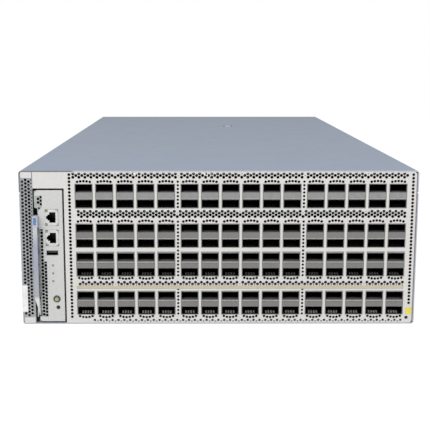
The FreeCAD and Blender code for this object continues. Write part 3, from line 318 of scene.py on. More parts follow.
# The spring fingers carry painted shade by row: the lowest row keeps its colour, the third is painted grey
# and the two upper rows near black.
finger_steel = Finish("finger_steel", (206, 204, 200), 0.4, 0.6)
tone = finger_steel.tint(0.05, 4 * MM)
tone = finger_steel.fade("Z", rows[3][-1], rows[2][0], tone, colour(120, 119, 117))
finger_steel.fade("Z", rows[2][-1], rows[1][0], tone, colour(34, 34, 35))
finger_steel.gloss(0.35, 0.5, 3 * MM)

# The cover's front edge carries painted shade left of the ports and a painted highlight over them.
cover_edge = powder_coat("cover_edge", COVER, 0.38)
cover_tone = cover_edge.tone
cut_edge = face_y, face_y + 0.7 * MM
edge_shade = cover_edge.fade("Y", *cut_edge, colour(112, 116, 126), cover_tone)
lit = cover_edge.fade("Y", *cut_edge, colour(196, 200, 212), cover_tone)
first_edge = cages[0][0]
cover_edge.fade("X", first_edge - 4 * MM, first_edge, edge_shade, lit)

pin_low, pin_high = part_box("lever_pivot_pin")
touch_low, touch_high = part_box("lever_touch_point")
foot_z, middle_z = pin_high.z + 18 * MM, 70 * MM
# The lever's colour carries a painted reflection along its height: light towards the cap, blue grey in the
# middle, plainer grey lower down and near white at the foot.
lever_paint = Finish("lever_paint", (162, 167, 186), 0.35)
tone = lever_paint.tint(0.04, 9 * MM)
tone = lever_paint.fade("Z", middle_z - 20 * MM, middle_z, colour(170, 174, 182), tone)
tone = lever_paint.fade("Z", foot_z, foot_z + 3 * MM, colour(224, 225, 224), tone)
lever_paint.fade("Z", touch_low.z - 22 * MM, touch_low.z - 4 * MM, tone, colour(198, 199, 201))
lever_paint.gloss(0.3, 0.42, 8 * MM)
lever_paint.grain(0.7 * MM, 0.02 * MM, 0.3)
print("materials so far:", len(bpy.data.materials))

# %% [markdown]
# Plastics carry a fine moulded grain and are never one even tone. Clear parts,
# such as the lamp lenses, let light through as well.


# %% Plastics
CLEAR_IOR = 1.49


def plastic(name, rgb, roughness, grain_height=0.02 * MM):
    moulding = Finish(name, rgb, roughness)
    moulding.tint(0.07, 7 * MM)
    moulding.gloss(roughness - 0.05, roughness + 0.07, 3 * MM)
    moulding.grain(0.35 * MM, grain_height, 0.4)
    return moulding


def clear_plastic(name, rgb, roughness, through):
    moulding = Finish(name, rgb, roughness)
    moulding.shade("Transmission Weight", through)
    moulding.shade("IOR", CLEAR_IOR)
    moulding.tint(0.05, 3 * MM)
    moulding.gloss(roughness, roughness + 0.1, 2 * MM)
    return moulding


black_plastic = plastic("black_plastic", (20, 20, 21), 0.45)
fan_plastic = plastic("fan_plastic", (34, 35, 37), 0.5)
dark_ring = plastic("dark_ring", (82, 81, 72), 0.5)
button_plastic = plastic("button_plastic", (172, 174, 130), 0.4)
handle_plastic = plastic("handle_plastic", (44, 45, 48), 0.5)
latch_plastic = plastic("latch_plastic", (96, 128, 168), 0.4)
yellow_film = plastic("yellow_film", (230, 212, 88), 0.35, 0.004 * MM)
white_film = plastic("white_film", (240, 240, 240), 0.4, 0.004 * MM)
chip_plastic = plastic("chip_plastic", (30, 31, 33), 0.55)
grey_plastic = plastic("grey_plastic", (70, 71, 73), 0.5)
touch_cap = clear_plastic("touch_cap", (206, 208, 222), 0.25, 0.15)
touch_core = clear_plastic("touch_core", (88, 142, 200), 0.2, 0.1)
lens_clear = clear_plastic("lens_clear", (206, 210, 204), 0.12, 0.6)
lamp_green = clear_plastic("lamp_green", (164, 168, 108), 0.15, 0.3)

# The pad is painted lighter than the cover, a painted highlight for its lit wall, and darker at both ends, a
# painted shade on its side walls.
PAD_SHADE = colour(90, 96, 108)
pad_x = middle_of(*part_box("cover_pad"))[0]
pad_film = Finish("pad_film", (206, 216, 232), 0.3)
tone = pad_film.tint(0.04, 4 * MM)
tone = pad_film.fade("X", pad_x - 5.6 * MM, pad_x - 4.6 * MM, PAD_SHADE, tone)
pad_film.fade("X", pad_x + 4.6 * MM, pad_x + 5.6 * MM, tone, PAD_SHADE)
pad_film.gloss(0.25, 0.4, 3 * MM)
print("materials so far:", len(bpy.data.materials))

# %% [markdown]
# A board is glass cloth in green lacquer. Under the lacquer run copper tracks,
# slightly raised and lighter, between round pads. Its cut edge is bare laminate
# in thin layers. Tracks are drawn with a Brick texture, whose joints make
# straight lines that stop and start, and the layers with a Wave texture.


# %% Board lacquer and its cut edge
LAYERS_PER_METRE = 300.0


def board_lacquer(name, across, up):
    """Tracks on the plane of two object axes, each "X", "Y" or "Z"."""
    lacquer = Finish(name, (24, 84, 58), 0.32)
    axes = lacquer.add("ShaderNodeSeparateXYZ", {"Vector": lacquer.place}).outputs
    plane = lacquer.add("ShaderNodeCombineXYZ", {"X": axes[across], "Y": axes[up]})
    sizes = {"Brick Width": 22 * MM, "Row Height": 1.3 * MM, "Mortar Size": 0.17 * MM}
    inputs = {"Vector": plane.outputs["Vector"], "Scale": 1.0, "Mortar Smooth": 0.2, **sizes}
    tracks = lacquer.add("ShaderNodeTexBrick", inputs, offset=0.35, squash=0.6).outputs["Fac"]
    lacquer.paint(lacquer.blend(tracks, lacquer.tint(0.12, 14 * MM), colour(60, 128, 84)))
    lacquer.bump(tracks, 0.03 * MM, 0.5)
    return lacquer


def laminate_edge(name, rgb):
    edge = Finish(name, rgb, 0.6)
    inputs = {"Vector": edge.place, "Scale": LAYERS_PER_METRE, "Distortion": 1.5}
    layers = edge.add("ShaderNodeTexWave", inputs, bands_direction="Z").outputs["Fac"]
    edge.paint(edge.blend(layers, scaled(edge.base, 0.86), edge.tint(0.05, 12 * MM)))
    edge.grain(0.4 * MM, 0.03 * MM)
    return edge


flat_board = board_lacquer("flat_board", "X", "Y")
upright_board = board_lacquer("upright_board", "X", "Z")
module_lacquer = board_lacquer("module_lacquer", "Y", "Z")
board_edge = laminate_edge("board_edge", (208, 199, 174))
print("materials so far:", len(bpy.data.materials))

# %% [markdown]
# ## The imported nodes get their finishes
# Most nodes already have the right shape and stay as they are, with a better
# material. A list of finishes, each with the names or first words of its nodes,
# keeps that in one place, so a repeated node such as a supply needs one entry.

# %% Dress the nodes
NODE_FINISHES = (
    (tray_paint, "chassis_tray"),
    (cover_edge, "top_cover"),
    (cover_paint, "rear_frame", "fan_tray"),
    (pad_film, "cover_pad"),
    (module_paint, "module_faceplate"),
    (steel, "earth_jack", "module_bay", "rear_bays", "supply_case"),
    (cage_steel, "cages_row"),
    (jack_steel, "lower_network_jack", "upper_network_jack", "usb_socket"),
    (screw_steel, "board_posts", "lever_pivot_pin"),
    (aluminium, "chip_heat_sink", "retimer_heat_sinks", "module_heat_sink"),
    (copper, "bus_bars"),
    (flat_board, "upper_board", "middle_board"),
    (upright_board, "power_board"),
    (module_lacquer, "module_board"),
    (board_edge, "lower_board"),
    (lens_clear, "light_pipes"),
    (button_plastic, "push_button"),
    (black_plastic, "reset_button"),
    (fan_plastic, "fan_housing"),
    (handle_plastic, "supply_handle"),
    (latch_plastic, "fan_latch", "supply_latch"),
)
dressed = 0
for finish, *starts in NODE_FINISHES:
    for name, node in nodes.items():
        if name.startswith(tuple(starts)):
            node.data.materials.clear()
            node.data.materials.append(finish.material)
            dressed += 1
print("dressed nodes:", dressed, "of", len(nodes))

# %% [markdown]
# ## Shapes
# Small solid pieces are outlines carried along one axis, or profiles turned
# about one. Each helper draws into a mesh, and another turns the mesh into a
# named piece on its body. Faces are turned outwards once a piece is whole.


# %% Prisms and turned shapes
def spot(axis, along, a, b):
    """A point, from its place along an axis and its two coordinates across it."""
    point = [a, b]
    point.insert("XYZ".index(axis), along)
    return point


def prism(bm, axis, outline, low, high):
    """An outline in the plane across an axis, carried along it from low to high."""
    ends = [[bm.verts.new(spot(axis, along, a, b)) for a, b in outline] for along in (low, high)]
    bm.faces.new(ends[0])
    bm.faces.new(ends[1][::-1])
    for k in range(len(outline)):
        after = (k + 1) % len(outline)
        bm.faces.new((ends[0][k], ends[1][k], ends[1][after], ends[0][after]))


def rectangle(a0, a1, b0, b1):
    return [(a0, b0), (a1, b0), (a1, b1), (a0, b1)]


def polygon(a, b, radius, sides):
    step = 2 * math.pi / sides
    return [(a + radius * math.cos(k * step), b + radius * math.sin(k * step)) for k in range(sides)]


def block(bm, low, high):
    prism(bm, "Z", rectangle(low[0], high[0], low[1], high[1]), low[2], high[2])


def blocks(*corners):
    """A new shape of blocks, from their low and high corners in turn."""
    bm = bmesh.new()
    for low, high in zip(corners[::2], corners[1::2]):
        block(bm, low, high)
    return bm


def profile(unit, place, *corners):
    """Corners for a turned shape, given as radii in a unit and steps in mm from a place."""
    return [(radius * unit, place + step * MM) for radius, step in corners]


def turned(bm, centre, corners, sides, axis="Y"):
    """A profile of (radius, place) corners turned about an axis through a centre."""
    rings = []
    for radius, place in corners:
        around = polygon(*centre, radius, sides) if radius else [centre]
        rings.append([bm.verts.new(spot(axis, place, a, b)) for a, b in around])
    for near, far in zip(rings, rings[1:]):
        for k in range(sides):
            low, high = k % len(near), (k + 1) % len(near)
            ring = [near[low], near[high], far[(k + 1) % len(far)], far[k % len(far)]]
            bm.faces.new(list(dict.fromkeys(ring)))


def screw(bm, centre, face, radius):
    """A low domed head with a six-sided recess, standing out of a face."""
    rise = 0.45 * radius
    turned(bm, centre, [(radius, face), (radius, face + 0.3 * rise), (0.86 * radius, face + 0.75 * rise),
                        (0.6 * radius, face + rise), (0.5 * radius, face + rise)], 20)
    floor_y = face + 0.2 * rise
    turned(bm, centre, [(0.5 * radius, face + rise), (0.46 * radius, floor_y), (0, floor_y)], 6)


def plate(bm, axis, outline, hole, low, high):
    """A flat piece with one hole, carried along an axis."""
    edges = []
    for ring in (outline, hole):
        corners = [bm.verts.new(spot(axis, low, a, b)) for a, b in ring]
        edges += [bm.edges.new((corners[k - 1], corners[k])) for k in range(len(corners))]
    flat = bmesh.ops.triangle_fill(bm, edges=edges, use_beauty=True)["geom"]
    faces = [item for item in flat if isinstance(item, bmesh.types.BMFace)]
    raised = bmesh.ops.extrude_face_region(bm, geom=faces, use_keep_orig=True)["geom"]
    lifted = [item for item in raised if isinstance(item, bmesh.types.BMVert)]
    bmesh.ops.translate(bm, vec=Vector(spot(axis, high - low, 0, 0)), verts=lifted)


print("shape helpers are ready")


# %% Turn a drawn shape into a piece
def settle(made):
    """Replace a piece's mesh with what its modifiers make of it, and drop them."""
    graph = bpy.context.evaluated_depsgraph_get()
    mesh = bpy.data.meshes.new_from_object(made.evaluated_get(graph), depsgraph=graph)
    made.modifiers.clear()
    made.data = mesh


def show(name, data):
    """A new object in the scene, for a mesh, a camera or a lamp."""
    made = bpy.data.objects.new(name, data)
    scene.collection.objects.link(made)
    return made


def new_object(name, bm, finish):
    """A drawn shape as an object, with its faces turned outwards."""
    bmesh.ops.recalc_face_normals(bm, faces=bm.faces[:])
    mesh = bpy.data.meshes.new(name)
    bm.to_mesh(mesh)
    bm.free()
    mesh.materials.append(finish.material)
    return show(name, mesh)


def fit(made, body):
    """Let a piece ride on a body."""
    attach(made, body)
    return made


def piece(name, bm, finish, body, edge=0.0):
    """A drawn shape as a piece on its body, its sharp edges rounded by a width."""
    made = new_object(name, bm, finish)
    if edge:
        bevel = made.modifiers.new("edges", "BEVEL")
        bevel.width = edge
        bevel.segments = 2
        bevel.limit_method = "ANGLE"
        settle(made)
    return fit(made, body)


print("piece helpers are ready")

# %% [markdown]
# ## Punched sheets
# The face is one sheet with more than a thousand holes: openings for the cages,
# honeycomb bands and small arcs of holes that let air past each port. Cutting
# them with booleans would be slow and would leave a poor mesh. A Geometry Nodes
# tree does it in one pass instead. The outline and the square openings come in
# as edges, each round hole as a lone point that carries its radius. The tree
# puts a circle on every point, fills the area between all curves, and gives
# the result its thickness.


# %% A tree that punches and thickens a sheet
SHEET_INPUTS = (("Geometry", "Geometry"), ("Front", "Float"), ("Thickness", "Float"), ("Hole sides", "Int"),
                ("Finish", "Material"))
SAME_PLACE = 0.001 * MM


def punched_sheet_tree():
    tree = bpy.data.node_groups.new("punched_sheet", "GeometryNodeTree")
    for label, kind in SHEET_INPUTS:
        tree.interface.new_socket(label, in_out="INPUT", socket_type="NodeSocket" + kind)
    tree.interface.new_socket("Geometry", in_out="OUTPUT", socket_type="NodeSocketGeometry")
    given = tree.nodes.new("NodeGroupInput").outputs

    def made(kind, inputs=None, **settings):
        """The first output of a new node, whose other settings are as in add_node."""
        return add_node(tree, "GeometryNode" + kind, inputs, **settings).outputs[0]

    def joined(*parts):
        join = add_node(tree, "GeometryNodeJoinGeometry")
        for part in parts:
            feed(tree, join.inputs["Geometry"], part)
        return join.outputs[0]

    radius = made("InputNamedAttribute", {"Name": "hole_radius"}, data_type="FLOAT")
    is_hole = add_node(tree, "FunctionNodeCompare", {"A": radius}, operation="GREATER_THAN").outputs["Result"]
    outline = made("MeshToCurve", {"Mesh": given["Geometry"]})
    centres = made("MeshToPoints", {"Mesh": given["Geometry"], "Selection": is_hole})
    circle = made("CurvePrimitiveCircle", {"Radius": 1.0, "Resolution": given["Hole sides"]})
    holes = made("InstanceOnPoints", {"Points": centres, "Instance": circle, "Scale": radius})
    hole_curves = made("RealizeInstances", {"Geometry": holes})
    flat = made("FillCurve", {"Curve": joined(hole_curves, outline)})
    raised = made("ExtrudeMesh", {"Mesh": flat, "Offset Scale": given["Thickness"], "Individual": False})
    back = made("FlipFaces", {"Mesh": flat})
    closed = made("MergeByDistance", {"Geometry": joined(raised, back), "Distance": SAME_PLACE})
    depth = add_node(tree, "ShaderNodeMath", {0: given["Front"], 1: given["Thickness"]}).outputs["Value"]
    shift = add_node(tree, "ShaderNodeCombineXYZ", {"Y": depth}).outputs["Vector"]
    stand = {"Geometry": closed, "Translation": shift, "Rotation": (math.pi / 2, 0, 0)}
    whole = made("RealizeInstances", {"Geometry": made("Transform", stand)})
    painted = made("SetMaterial", {"Geometry": whole, "Material": given["Finish"]})
    add_node(tree, "NodeGroupOutput", {"Geometry": painted})
    return tree


punch_tree = punched_sheet_tree()
print("nodes in the punching tree:", len(punch_tree.nodes))


# %% Run a tree on a piece
def grow(made, tree, **values):
    """Give a piece a tree's result as its mesh. Values are named as the tree's inputs."""
    modifier = made.modifiers.new(tree.name, "NODES")
    modifier.node_group = tree
    for item in tree.interface.items_tree:
        name = item.name.lower().replace(" ", "_")
        if item.item_type == "SOCKET" and item.in_out == "INPUT" and name in values:
            modifier[item.identifier] = values[name]
    settle(made)


def punched_sheet(name, outline, openings, holes, front, thickness, finish):
    """A sheet across Y: closed outlines in (x, z), and holes as (x, z, radius)."""
    mesh = bpy.data.meshes.new(name)
    corners, edges = [], []
    for ring in (outline, *openings):
        first = len(corners)
        corners += [(x, z, 0.0) for x, z in ring]
        edges += [(first + k, first + (k + 1) % len(ring)) for k in range(len(ring))]
    radii = [0.0] * len(corners) + [radius for _, _, radius in holes]
    corners += [(x, z, 0.0) for x, z, _ in holes]
    mesh.from_pydata(corners, edges, [])
    mesh.attributes.new("hole_radius", "FLOAT", "POINT").data.foreach_set("value", radii)
    made = show(name, mesh)
    grow(made, punch_tree, front=front, thickness=thickness, hole_sides=10, finish=finish.material)
    print(name, "holes:", len(holes), "faces:", len(made.data.polygons))
    return made


print("sheet helpers are ready")

# %% [markdown]
# ## Where the holes of the face go
# Air comes in through the whole face. Between two rows of cages there is a
# honeycomb band, over or under each row every port has an arc of five small
# holes, and single columns of holes stand in the wider bars. All of them follow
# the cages, so their places are worked out from the cage edges. Where two
# patterns would run into each other, a hole that is too near a finished one is
# left out, as a punch shop does.

# %% Patterns of holes
VENT_R, SMALL_R, COLUMN_R, BAR_R, RIVET_R = mm(1.79, 1.56, 1.66, 1.4, 0.9)
VENT_COLUMN, SMALL_STEP, COLUMN_STEP = mm(3.325, 3.5, 3.96)
LEAST_WEB = 0.22 * MM
CELL = 5 * MM


def honeycomb(x0, x1, heights, radii, phase=0):
    """Columns of holes from x0 to x1, odd rows set between the even ones."""
    return [
        (x0 + k * VENT_COLUMN, z, radius)
        for k in range(int((x1 - x0) / VENT_COLUMN) + 1)
        for j, (z, radius) in enumerate(zip(heights, radii))
        if (j + k + phase) % 2 == 0
    ]


def arc_of_five(x, edge, toward, reach, rise):
    """Five small holes in an arc that stands off a cage's edge, up or down."""
    return [
        (x + k * SMALL_STEP, edge + toward * (reach + rise * (1 - (k / 2) ** 2)), SMALL_R)
        for k in range(-2, 3)
    ]


def upright_column(x, z0, z1, radius=COLUMN_R):
    """Holes one above the other, at an even step close to the column's own."""
    count = max(1, round(abs(z1 - z0) / COLUMN_STEP))
    return [(x, z0 + (z1 - z0) * k / count, radius) for k in range(count + 1)]


def keep_clear(holes, taken):
    """Drop each hole that would touch an earlier one or a taken place."""
    cells, result = {}, []
    for x, z, radius in taken:
        cells.setdefault((int(x // CELL), int(z // CELL)), []).append((x, z, radius))
    for x, z, radius in holes:
        i, j = int(x // CELL), int(z // CELL)
        near = [other for a in (-1, 0, 1) for b in (-1, 0, 1) for other in cells.get((i + a, j + b), [])]
        if all(math.hypot(x - ox, z - oz) > radius + other_r + LEAST_WEB for ox, oz, other_r in near):
            result.append((x, z, radius))
            cells.setdefault((i, j), []).append((x, z, radius))
    return result


print("hole patterns are ready")

# %% The face's outline and square openings
panel_low, panel_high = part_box("front_panel")
module_low, module_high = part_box("module_faceplate")
MODULE_GAP, CORNER_CUT, SIDE_FIT, TRIM, FACE, SLOT_FIT = mm(2.0, 1.8, 0.3, 1.3, 1.0, 0.2)
slot_right = module_high.x + MODULE_GAP
slot_top = module_high.z + MODULE_GAP
first_port, last_port = cage_sides[1], cage_sides[-2]
tongue_low, tongue_high = levels("lower_board", 2)[-2:]
panel_right = panel_high.x - TRIM
panel_outline = [
    (slot_right, panel_low.z),
    (panel_right - CORNER_CUT, panel_low.z),
    (panel_right, panel_low.z + CORNER_CUT),
    (panel_right, panel_high.z - CORNER_CUT),
    (panel_right - CORNER_CUT, panel_high.z),
    (panel_low.x, panel_high.z),
    (panel_low.x, slot_top),
    (slot_right, slot_top),
]
GASKETS = mm(0.35, 0.65, 1.5, 0.95)
FEET = mm(0.45, 0.1, 0.3, 0.1)
panel_openings = [
    rectangle(left - SIDE_FIT, right + SIDE_FIT, row[0] - foot, row[-1] + gasket)
    for left, right in cages
    for row, foot, gasket in zip(rows, FEET, GASKETS)
]
panel_openings.append(
    rectangle(first_port - SLOT_FIT, last_port + SLOT_FIT, tongue_low - SLOT_FIT, tongue_high + SLOT_FIT)
)
print("square openings:", len(panel_openings), "board edge mm:", round(tongue_low / MM, 2))

# %% The face's round holes
ARCS = (
    # reach and rise in mm, and the side of the row: 1 is above it, -1 below it
    (2.4, 0.8, 1), (2.8, 1.1, 1), (1.9, 0.9, -1), (1.7, 1.3, -1),
)
face_holes = []
for row, (reach, rise, toward) in zip(rows, ARCS):
    edge = row[-1] if toward > 0 else row[0]
    for left, right in cages:
        face_holes += arc_of_five((left + right) / 2, edge, toward, reach * MM, rise * MM)
    for x in wide_gaps:
        face_holes += upright_column(x, row[-1] + 2.6 * MM, row[0] + 1.2 * MM, BAR_R)
BUSH_R = 2.0 * MM
bush_x, _, bush_z = middle_of(*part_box("earth_jack"))
bar_x = (slot_right + cages[0][0]) / 2
side_x = panel_high.x - 5.0 * MM
face_holes += upright_column(bar_x, panel_high.z - 2.9 * MM, panel_low.z + 7.0 * MM)
face_holes += upright_column(side_x, panel_high.z - 3.1 * MM, bush_z + 17.0 * MM)
print("arcs and columns:", len(face_holes), "holes")

# %% Bands of holes, and the rivets that take the place of one hole each
BAND_STEP = 1.96 * MM
SLIM_R = 0.8 * MM
BANDS = (
    # first and last column, top row, number of rows, radius, which row leads
    (bar_x + 4.3 * MM, side_x, panel_high.z - 1.95 * MM, 3, 1.77 * MM, 0),
    (first_port + 2.8 * MM, last_port, rows[0][0] - 3.75 * MM, 4, VENT_R, 0),
    (first_port + 3.0 * MM, last_port, rows[2][0] - 7.0 * MM, 2, VENT_R, 1),
)
bands = []
for start, end, top, count, radius, phase in BANDS:
    bands += honeycomb(start, end, [top - k * BAND_STEP for k in range(count)], [radius] * count, phase)
bands += honeycomb(start, end, [tongue_high + SLOT_FIT + SLIM_R + LEAST_WEB], [SLIM_R], phase=1)

rivets = []
for left, right in gaps[1::3]:
    x = (left + right) / 2
    for _, _, top, *_ in BANDS:
        taken = min(bands, key=lambda hole: math.hypot(hole[0] - x, hole[1] - top + BAND_STEP))
        bands.remove(taken)
        rivets.append(taken[:2])
low = panel_low.z + 3.1 * MM
bands += honeycomb(cages[0][1], last_port, [low, low - 1.6 * MM], mm(1.5, 1.25))
bush = (bush_x, bush_z, BUSH_R)
face_holes = keep_clear(face_holes + bands, [(x, z, RIVET_R) for x, z in rivets] + [bush]) + [bush]
print("round holes in the face:", len(face_holes))

# %% Make the face
front_sheet = punched_sheet(
    "front_sheet", panel_outline, panel_openings, face_holes, panel_low.y, FACE, white_paint
)
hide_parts("front_panel")
fit(front_sheet, "chassis")

# %% Folds behind the face, and the rivets in its bands
RETURN, PANEL = mm(12, 1.5)
back = panel_low.y + FACE
fold_end = panel_high.x - 6 * MM
shape = blocks((slot_right, back, panel_high.z - PANEL), (fold_end, back + RETURN, panel_high.z),
               (slot_right, back, panel_low.z), (fold_end, back + RETURN, panel_low.z + PANEL))
piece("front_returns", shape, white_paint, "chassis", edge=0.3 * MM)
shape = blocks((panel_right + 0.1 * MM, panel_low.y + 0.2 * MM, panel_low.z + CORNER_CUT),
               (panel_high.x, back + RETURN, panel_high.z - CORNER_CUT))
piece("side_trim", shape, edge_steel, "chassis", edge=0.3 * MM)

rivet = profile(RIVET_R, panel_low.y, (1, 1), (1, 0), (0.8, -0.12), (0.45, -0.12), (0.35, 0.25), (0, 0.25))
shape = bmesh.new()
for x, z in rivets:
    turned(shape, (x, z), rivet, sides=14)
piece("band_rivets", shape, screw_steel, "chassis")
print("rivets:", len(rivets))

# %% The strip left of the slot
strip_low, strip_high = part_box("side_grille")
SHEET, STRIP_R, SLIT_R, SEAM, TAB_H, TAB_T, LABEL_W = mm(1.2, 1.58, 0.8, 0.7, 6.6, 0.4, 5.0)
STRIP_COLUMNS = mm(2.4, 6.1, 9.6)
LABEL_LOW, LABEL_HIGH = mm(14.4, 45)
strip_outline = [
    (strip_low.x + CORNER_CUT, strip_low.z),
    (strip_high.x, strip_low.z),
    (strip_high.x, strip_high.z),
    (strip_low.x + CORNER_CUT, strip_high.z),
    (strip_low.x, strip_high.z - CORNER_CUT),
    (strip_low.x, strip_low.z + CORNER_CUT),
]
strip_holes = []
tabs_high, tabs_low = strip_high.z - TAB_H, strip_low.z + TAB_H
for k, x in enumerate(STRIP_COLUMNS):
    longer = COLUMN_STEP / 2 * (k % 2)
    top, low = tabs_high - 4.1 * MM + longer, tabs_low + 4.5 * MM - longer
    column = upright_column(strip_low.x + x, top, low, STRIP_R)
    strip_holes += [hole for hole in column if k or not LABEL_LOW < hole[1] < LABEL_HIGH + 1.5 * MM]
strip_holes += upright_column(strip_low.x + 12.3 * MM, tabs_high - 2.1 * MM, 90 * MM, SLIT_R)
side_sheet = punched_sheet("side_sheet", strip_outline, [], strip_holes, strip_low.y, PANEL, strip_steel)
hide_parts("side_grille")
fit(side_sheet, "chassis")

# %% The strip's fold, tabs and blank label
shape = blocks((strip_high.x - SHEET, back, strip_low.z + 2 * MM), (strip_high.x, back + RETURN, slot_top))
piece("side_return", shape, strip_steel, "chassis", edge=0.25 * MM)
x0, x1, tab_front = strip_low.x + CORNER_CUT / 2, strip_high.x - SEAM, strip_low.y - TAB_T
shape = blocks((x0, tab_front, strip_low.z), (x1, strip_low.y, tabs_low),
               (x0, tab_front, tabs_high), (x1, strip_low.y, strip_high.z))
piece("strip_tabs", shape, white_paint, "chassis", edge=0.12 * MM)
shape = blocks((cad_low.x + 0.2 * MM, tab_front, LABEL_LOW), (strip_low.x + LABEL_W, strip_low.y, LABEL_HIGH))
piece("blank_label", shape, white_film, "chassis", edge=0.12 * MM)
print("strip holes:", len(strip_holes))

# %% [markdown]
# ## The control module
# A bare sheet stands behind the module's faceplate and shows where its left side
# steps back. It carries two columns of air holes and the two ears that hold the
# lever's pin. The jacks get contacts and lamps, the serial socket its tongue's
# contacts, and the long push button a ring round it.

# %% The shield behind the faceplate
shield_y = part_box("module_shield")[0].y
left = module_low.x
SHIELD_STEPS = mm(-0.9, 2.2, 2.5, 3.8, 6.7, 10.2, 10.6, 15.0)
wing_x, toe_x, inner_x, notch_x, near_x, far_x, upper_x, foot_x = [left + step for step in SHIELD_STEPS]
TOE_TOP, NOTCH_TOP, STEP_LOW, STEP_HIGH = mm(8.8, 31.0, 75.0, 135.0)
shield_top = module_high.z - 0.6 * MM
shield_outline = [
    (notch_x, TOE_TOP), (toe_x, TOE_TOP), (toe_x, module_low.z), (foot_x, module_low.z), (foot_x, STEP_LOW),
    (upper_x, STEP_LOW), (upper_x, shield_top), (wing_x + 1.2 * MM, shield_top),
    (wing_x, module_high.z - 1.8 * MM), (wing_x, STEP_HIGH - 1 * MM), (inner_x, STEP_HIGH - 2.5 * MM),
    (inner_x, touch_high.z), (left, touch_high.z), (left, NOTCH_TOP), (notch_x, NOTCH_TOP),
]
shield_holes = upright_column(near_x, 108.9 * MM, 10.9 * MM)
shield_holes += upright_column(far_x - 0.1 * MM, 71.6 * MM, 9.9 * MM)
for x, heights in ((left + 3.6 * MM, mm(143.5, 139.4)), (left + 6.8 * MM, mm(145.4, 141.4, 137.5))):
    shield_holes += [(x, z, COLUMN_R) for z in heights]
shield_holes.append((left + 4.4 * MM, 133 * MM, 1.2 * MM))
shield_sheet = punched_sheet(
    "shield_sheet", shield_outline, [], shield_holes, shield_y, SHEET, shield_steel
)
pin_x, pin_y, pin_z = middle_of(pin_low, pin_high)
PIN_R, EAR = mm(1.55, 4)
bore = polygon(pin_y, pin_z, PIN_R, sides=24)
ear_foot, ear_top, ear_back = pin_z - EAR, pin_z + EAR, pin_y + EAR
shape = bmesh.new()
for x0, x1 in ((pin_low.x, pin_low.x + SHEET), (pin_high.x - SHEET, pin_high.x)):
    plate(shape, "X", rectangle(shield_y, ear_back, ear_foot, ear_top), bore, x0, x1)
block(shape, (pin_low.x, ear_back, ear_foot), (pin_high.x, ear_back + SHEET, ear_top))
for made in (shield_sheet, new_object("shield_ears", shape, shield_steel)):
    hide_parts("module_shield")
    fit(made, "control_module")
print("shield holes:", len(shield_holes), "pin mm:", [round(v / MM, 2) for v in (pin_x, pin_y, pin_z)])

# %% [markdown]
# The lever is an angle folded from thin sheet, with a slim leg that turns on the
# pin and a plastic cap on its upper end. It is drawn as a row of L-shaped
# sections from the leg up, each with its own width and depth, and joined up.

# %% The ejector lever
LEVER_WALL, LEVER_W, LEG_W, BOSS, BOSS_FLAT = mm(1.1, 5.1, 2.2, 2.4, 1.8)
lever_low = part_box("ejector_lever")[0]
lever_left, lever_front, lever_back = lever_low.x, lever_low.y, touch_high.y
lever_right = lever_left + LEVER_W
leg_left, leg_right = pin_x - LEG_W / 2, pin_x + LEG_W / 2
LEVER_STATIONS = (
    # height, left, right, front
    (21.5 * MM, leg_left, leg_right, lever_back - 5.2 * MM),
    (24.0 * MM, leg_left - 0.3 * MM, leg_right, lever_back - 5.8 * MM),
    (31.0 * MM, lever_left, lever_right - 0.2 * MM, lever_front + 1.6 * MM),
    (33.5 * MM, lever_left, lever_right, lever_front + 1.1 * MM),
    (42.0 * MM, lever_left, lever_right, lever_front),
    (touch_low.z, lever_left, lever_right, lever_front),
)


def angle_section(bm, z, x0, x1, front, back):
    """Corners of one section: a front web and one flange, open on the module's side."""
    wall = min(LEVER_WALL, 0.46 * (x1 - x0))
    inner = front + LEVER_WALL
    corners = ((x0, back), (x0, front), (x1, front), (x1, inner), (x0 + wall, inner), (x0 + wall, back))
    return [bm.verts.new((x, y, z)) for x, y in corners]


shape = bmesh.new()
sections = [angle_section(shape, *station, lever_back) for station in LEVER_STATIONS]
for under, over in zip(sections, sections[1:]):
    for k in range(len(under)):
        after = (k + 1) % len(under)
        shape.faces.new((under[k], under[after], over[after], over[k]))
shape.faces.new(sections[0])
shape.faces.new(sections[-1][::-1])
leg = [
    (pin_y + BOSS, pin_z + BOSS_FLAT), (pin_y + BOSS, pin_z - BOSS_FLAT), (pin_y - BOSS_FLAT, pin_z - BOSS),
    (lever_back - BOSS, pin_z + 4 * MM), (lever_back - 5.5 * MM, 26 * MM),
    (lever_back - 5.8 * MM, 30 * MM), (lever_back, 30 * MM),
]
plate(shape, "X", leg, bore, leg_left, leg_right)
lever_beam = piece("lever_beam", shape, lever_paint, "lever", edge=0.35 * MM)
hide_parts("ejector_lever")

# %% The cap on the lever, with its coloured window
WINDOW, GROOVE = mm(0.6, 0.1)
cap_x = (lever_left + lever_right) / 2
cap_front, cap_inside, cap_top = touch_low.y, touch_low.y + WINDOW, touch_high.z - 1.0 * MM
x0, x1, z0, z1 = cap_x - 1.5 * MM, cap_x + 1.5 * MM, touch_low.z + 3.2 * MM, touch_high.z - 1.6 * MM
shape = bmesh.new()
plate(shape, "Y", rectangle(lever_left, lever_right, touch_low.z, cap_top), rectangle(x0, x1, z0, z1),
      cap_front, cap_inside)
side = [(cap_inside, touch_low.z), (cap_inside, cap_top), (cap_front + 2.2 * MM, touch_high.z),
        (lever_back, touch_high.z), (lever_back, touch_low.z)]
prism(shape, "X", side, lever_left, lever_right)
lever_cap = piece("lever_cap", shape, touch_cap, "lever", edge=0.25 * MM)
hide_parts("lever_touch_point")
shape = blocks((x0 + GROOVE, cap_front + 0.15 * MM, z0 + GROOVE), (x1 - GROOVE, cap_inside, z1 - GROOVE))
piece("touch_window", shape, touch_core, "lever", edge=0.2 * MM)
print("lever width mm:", round(LEVER_W / MM, 2))

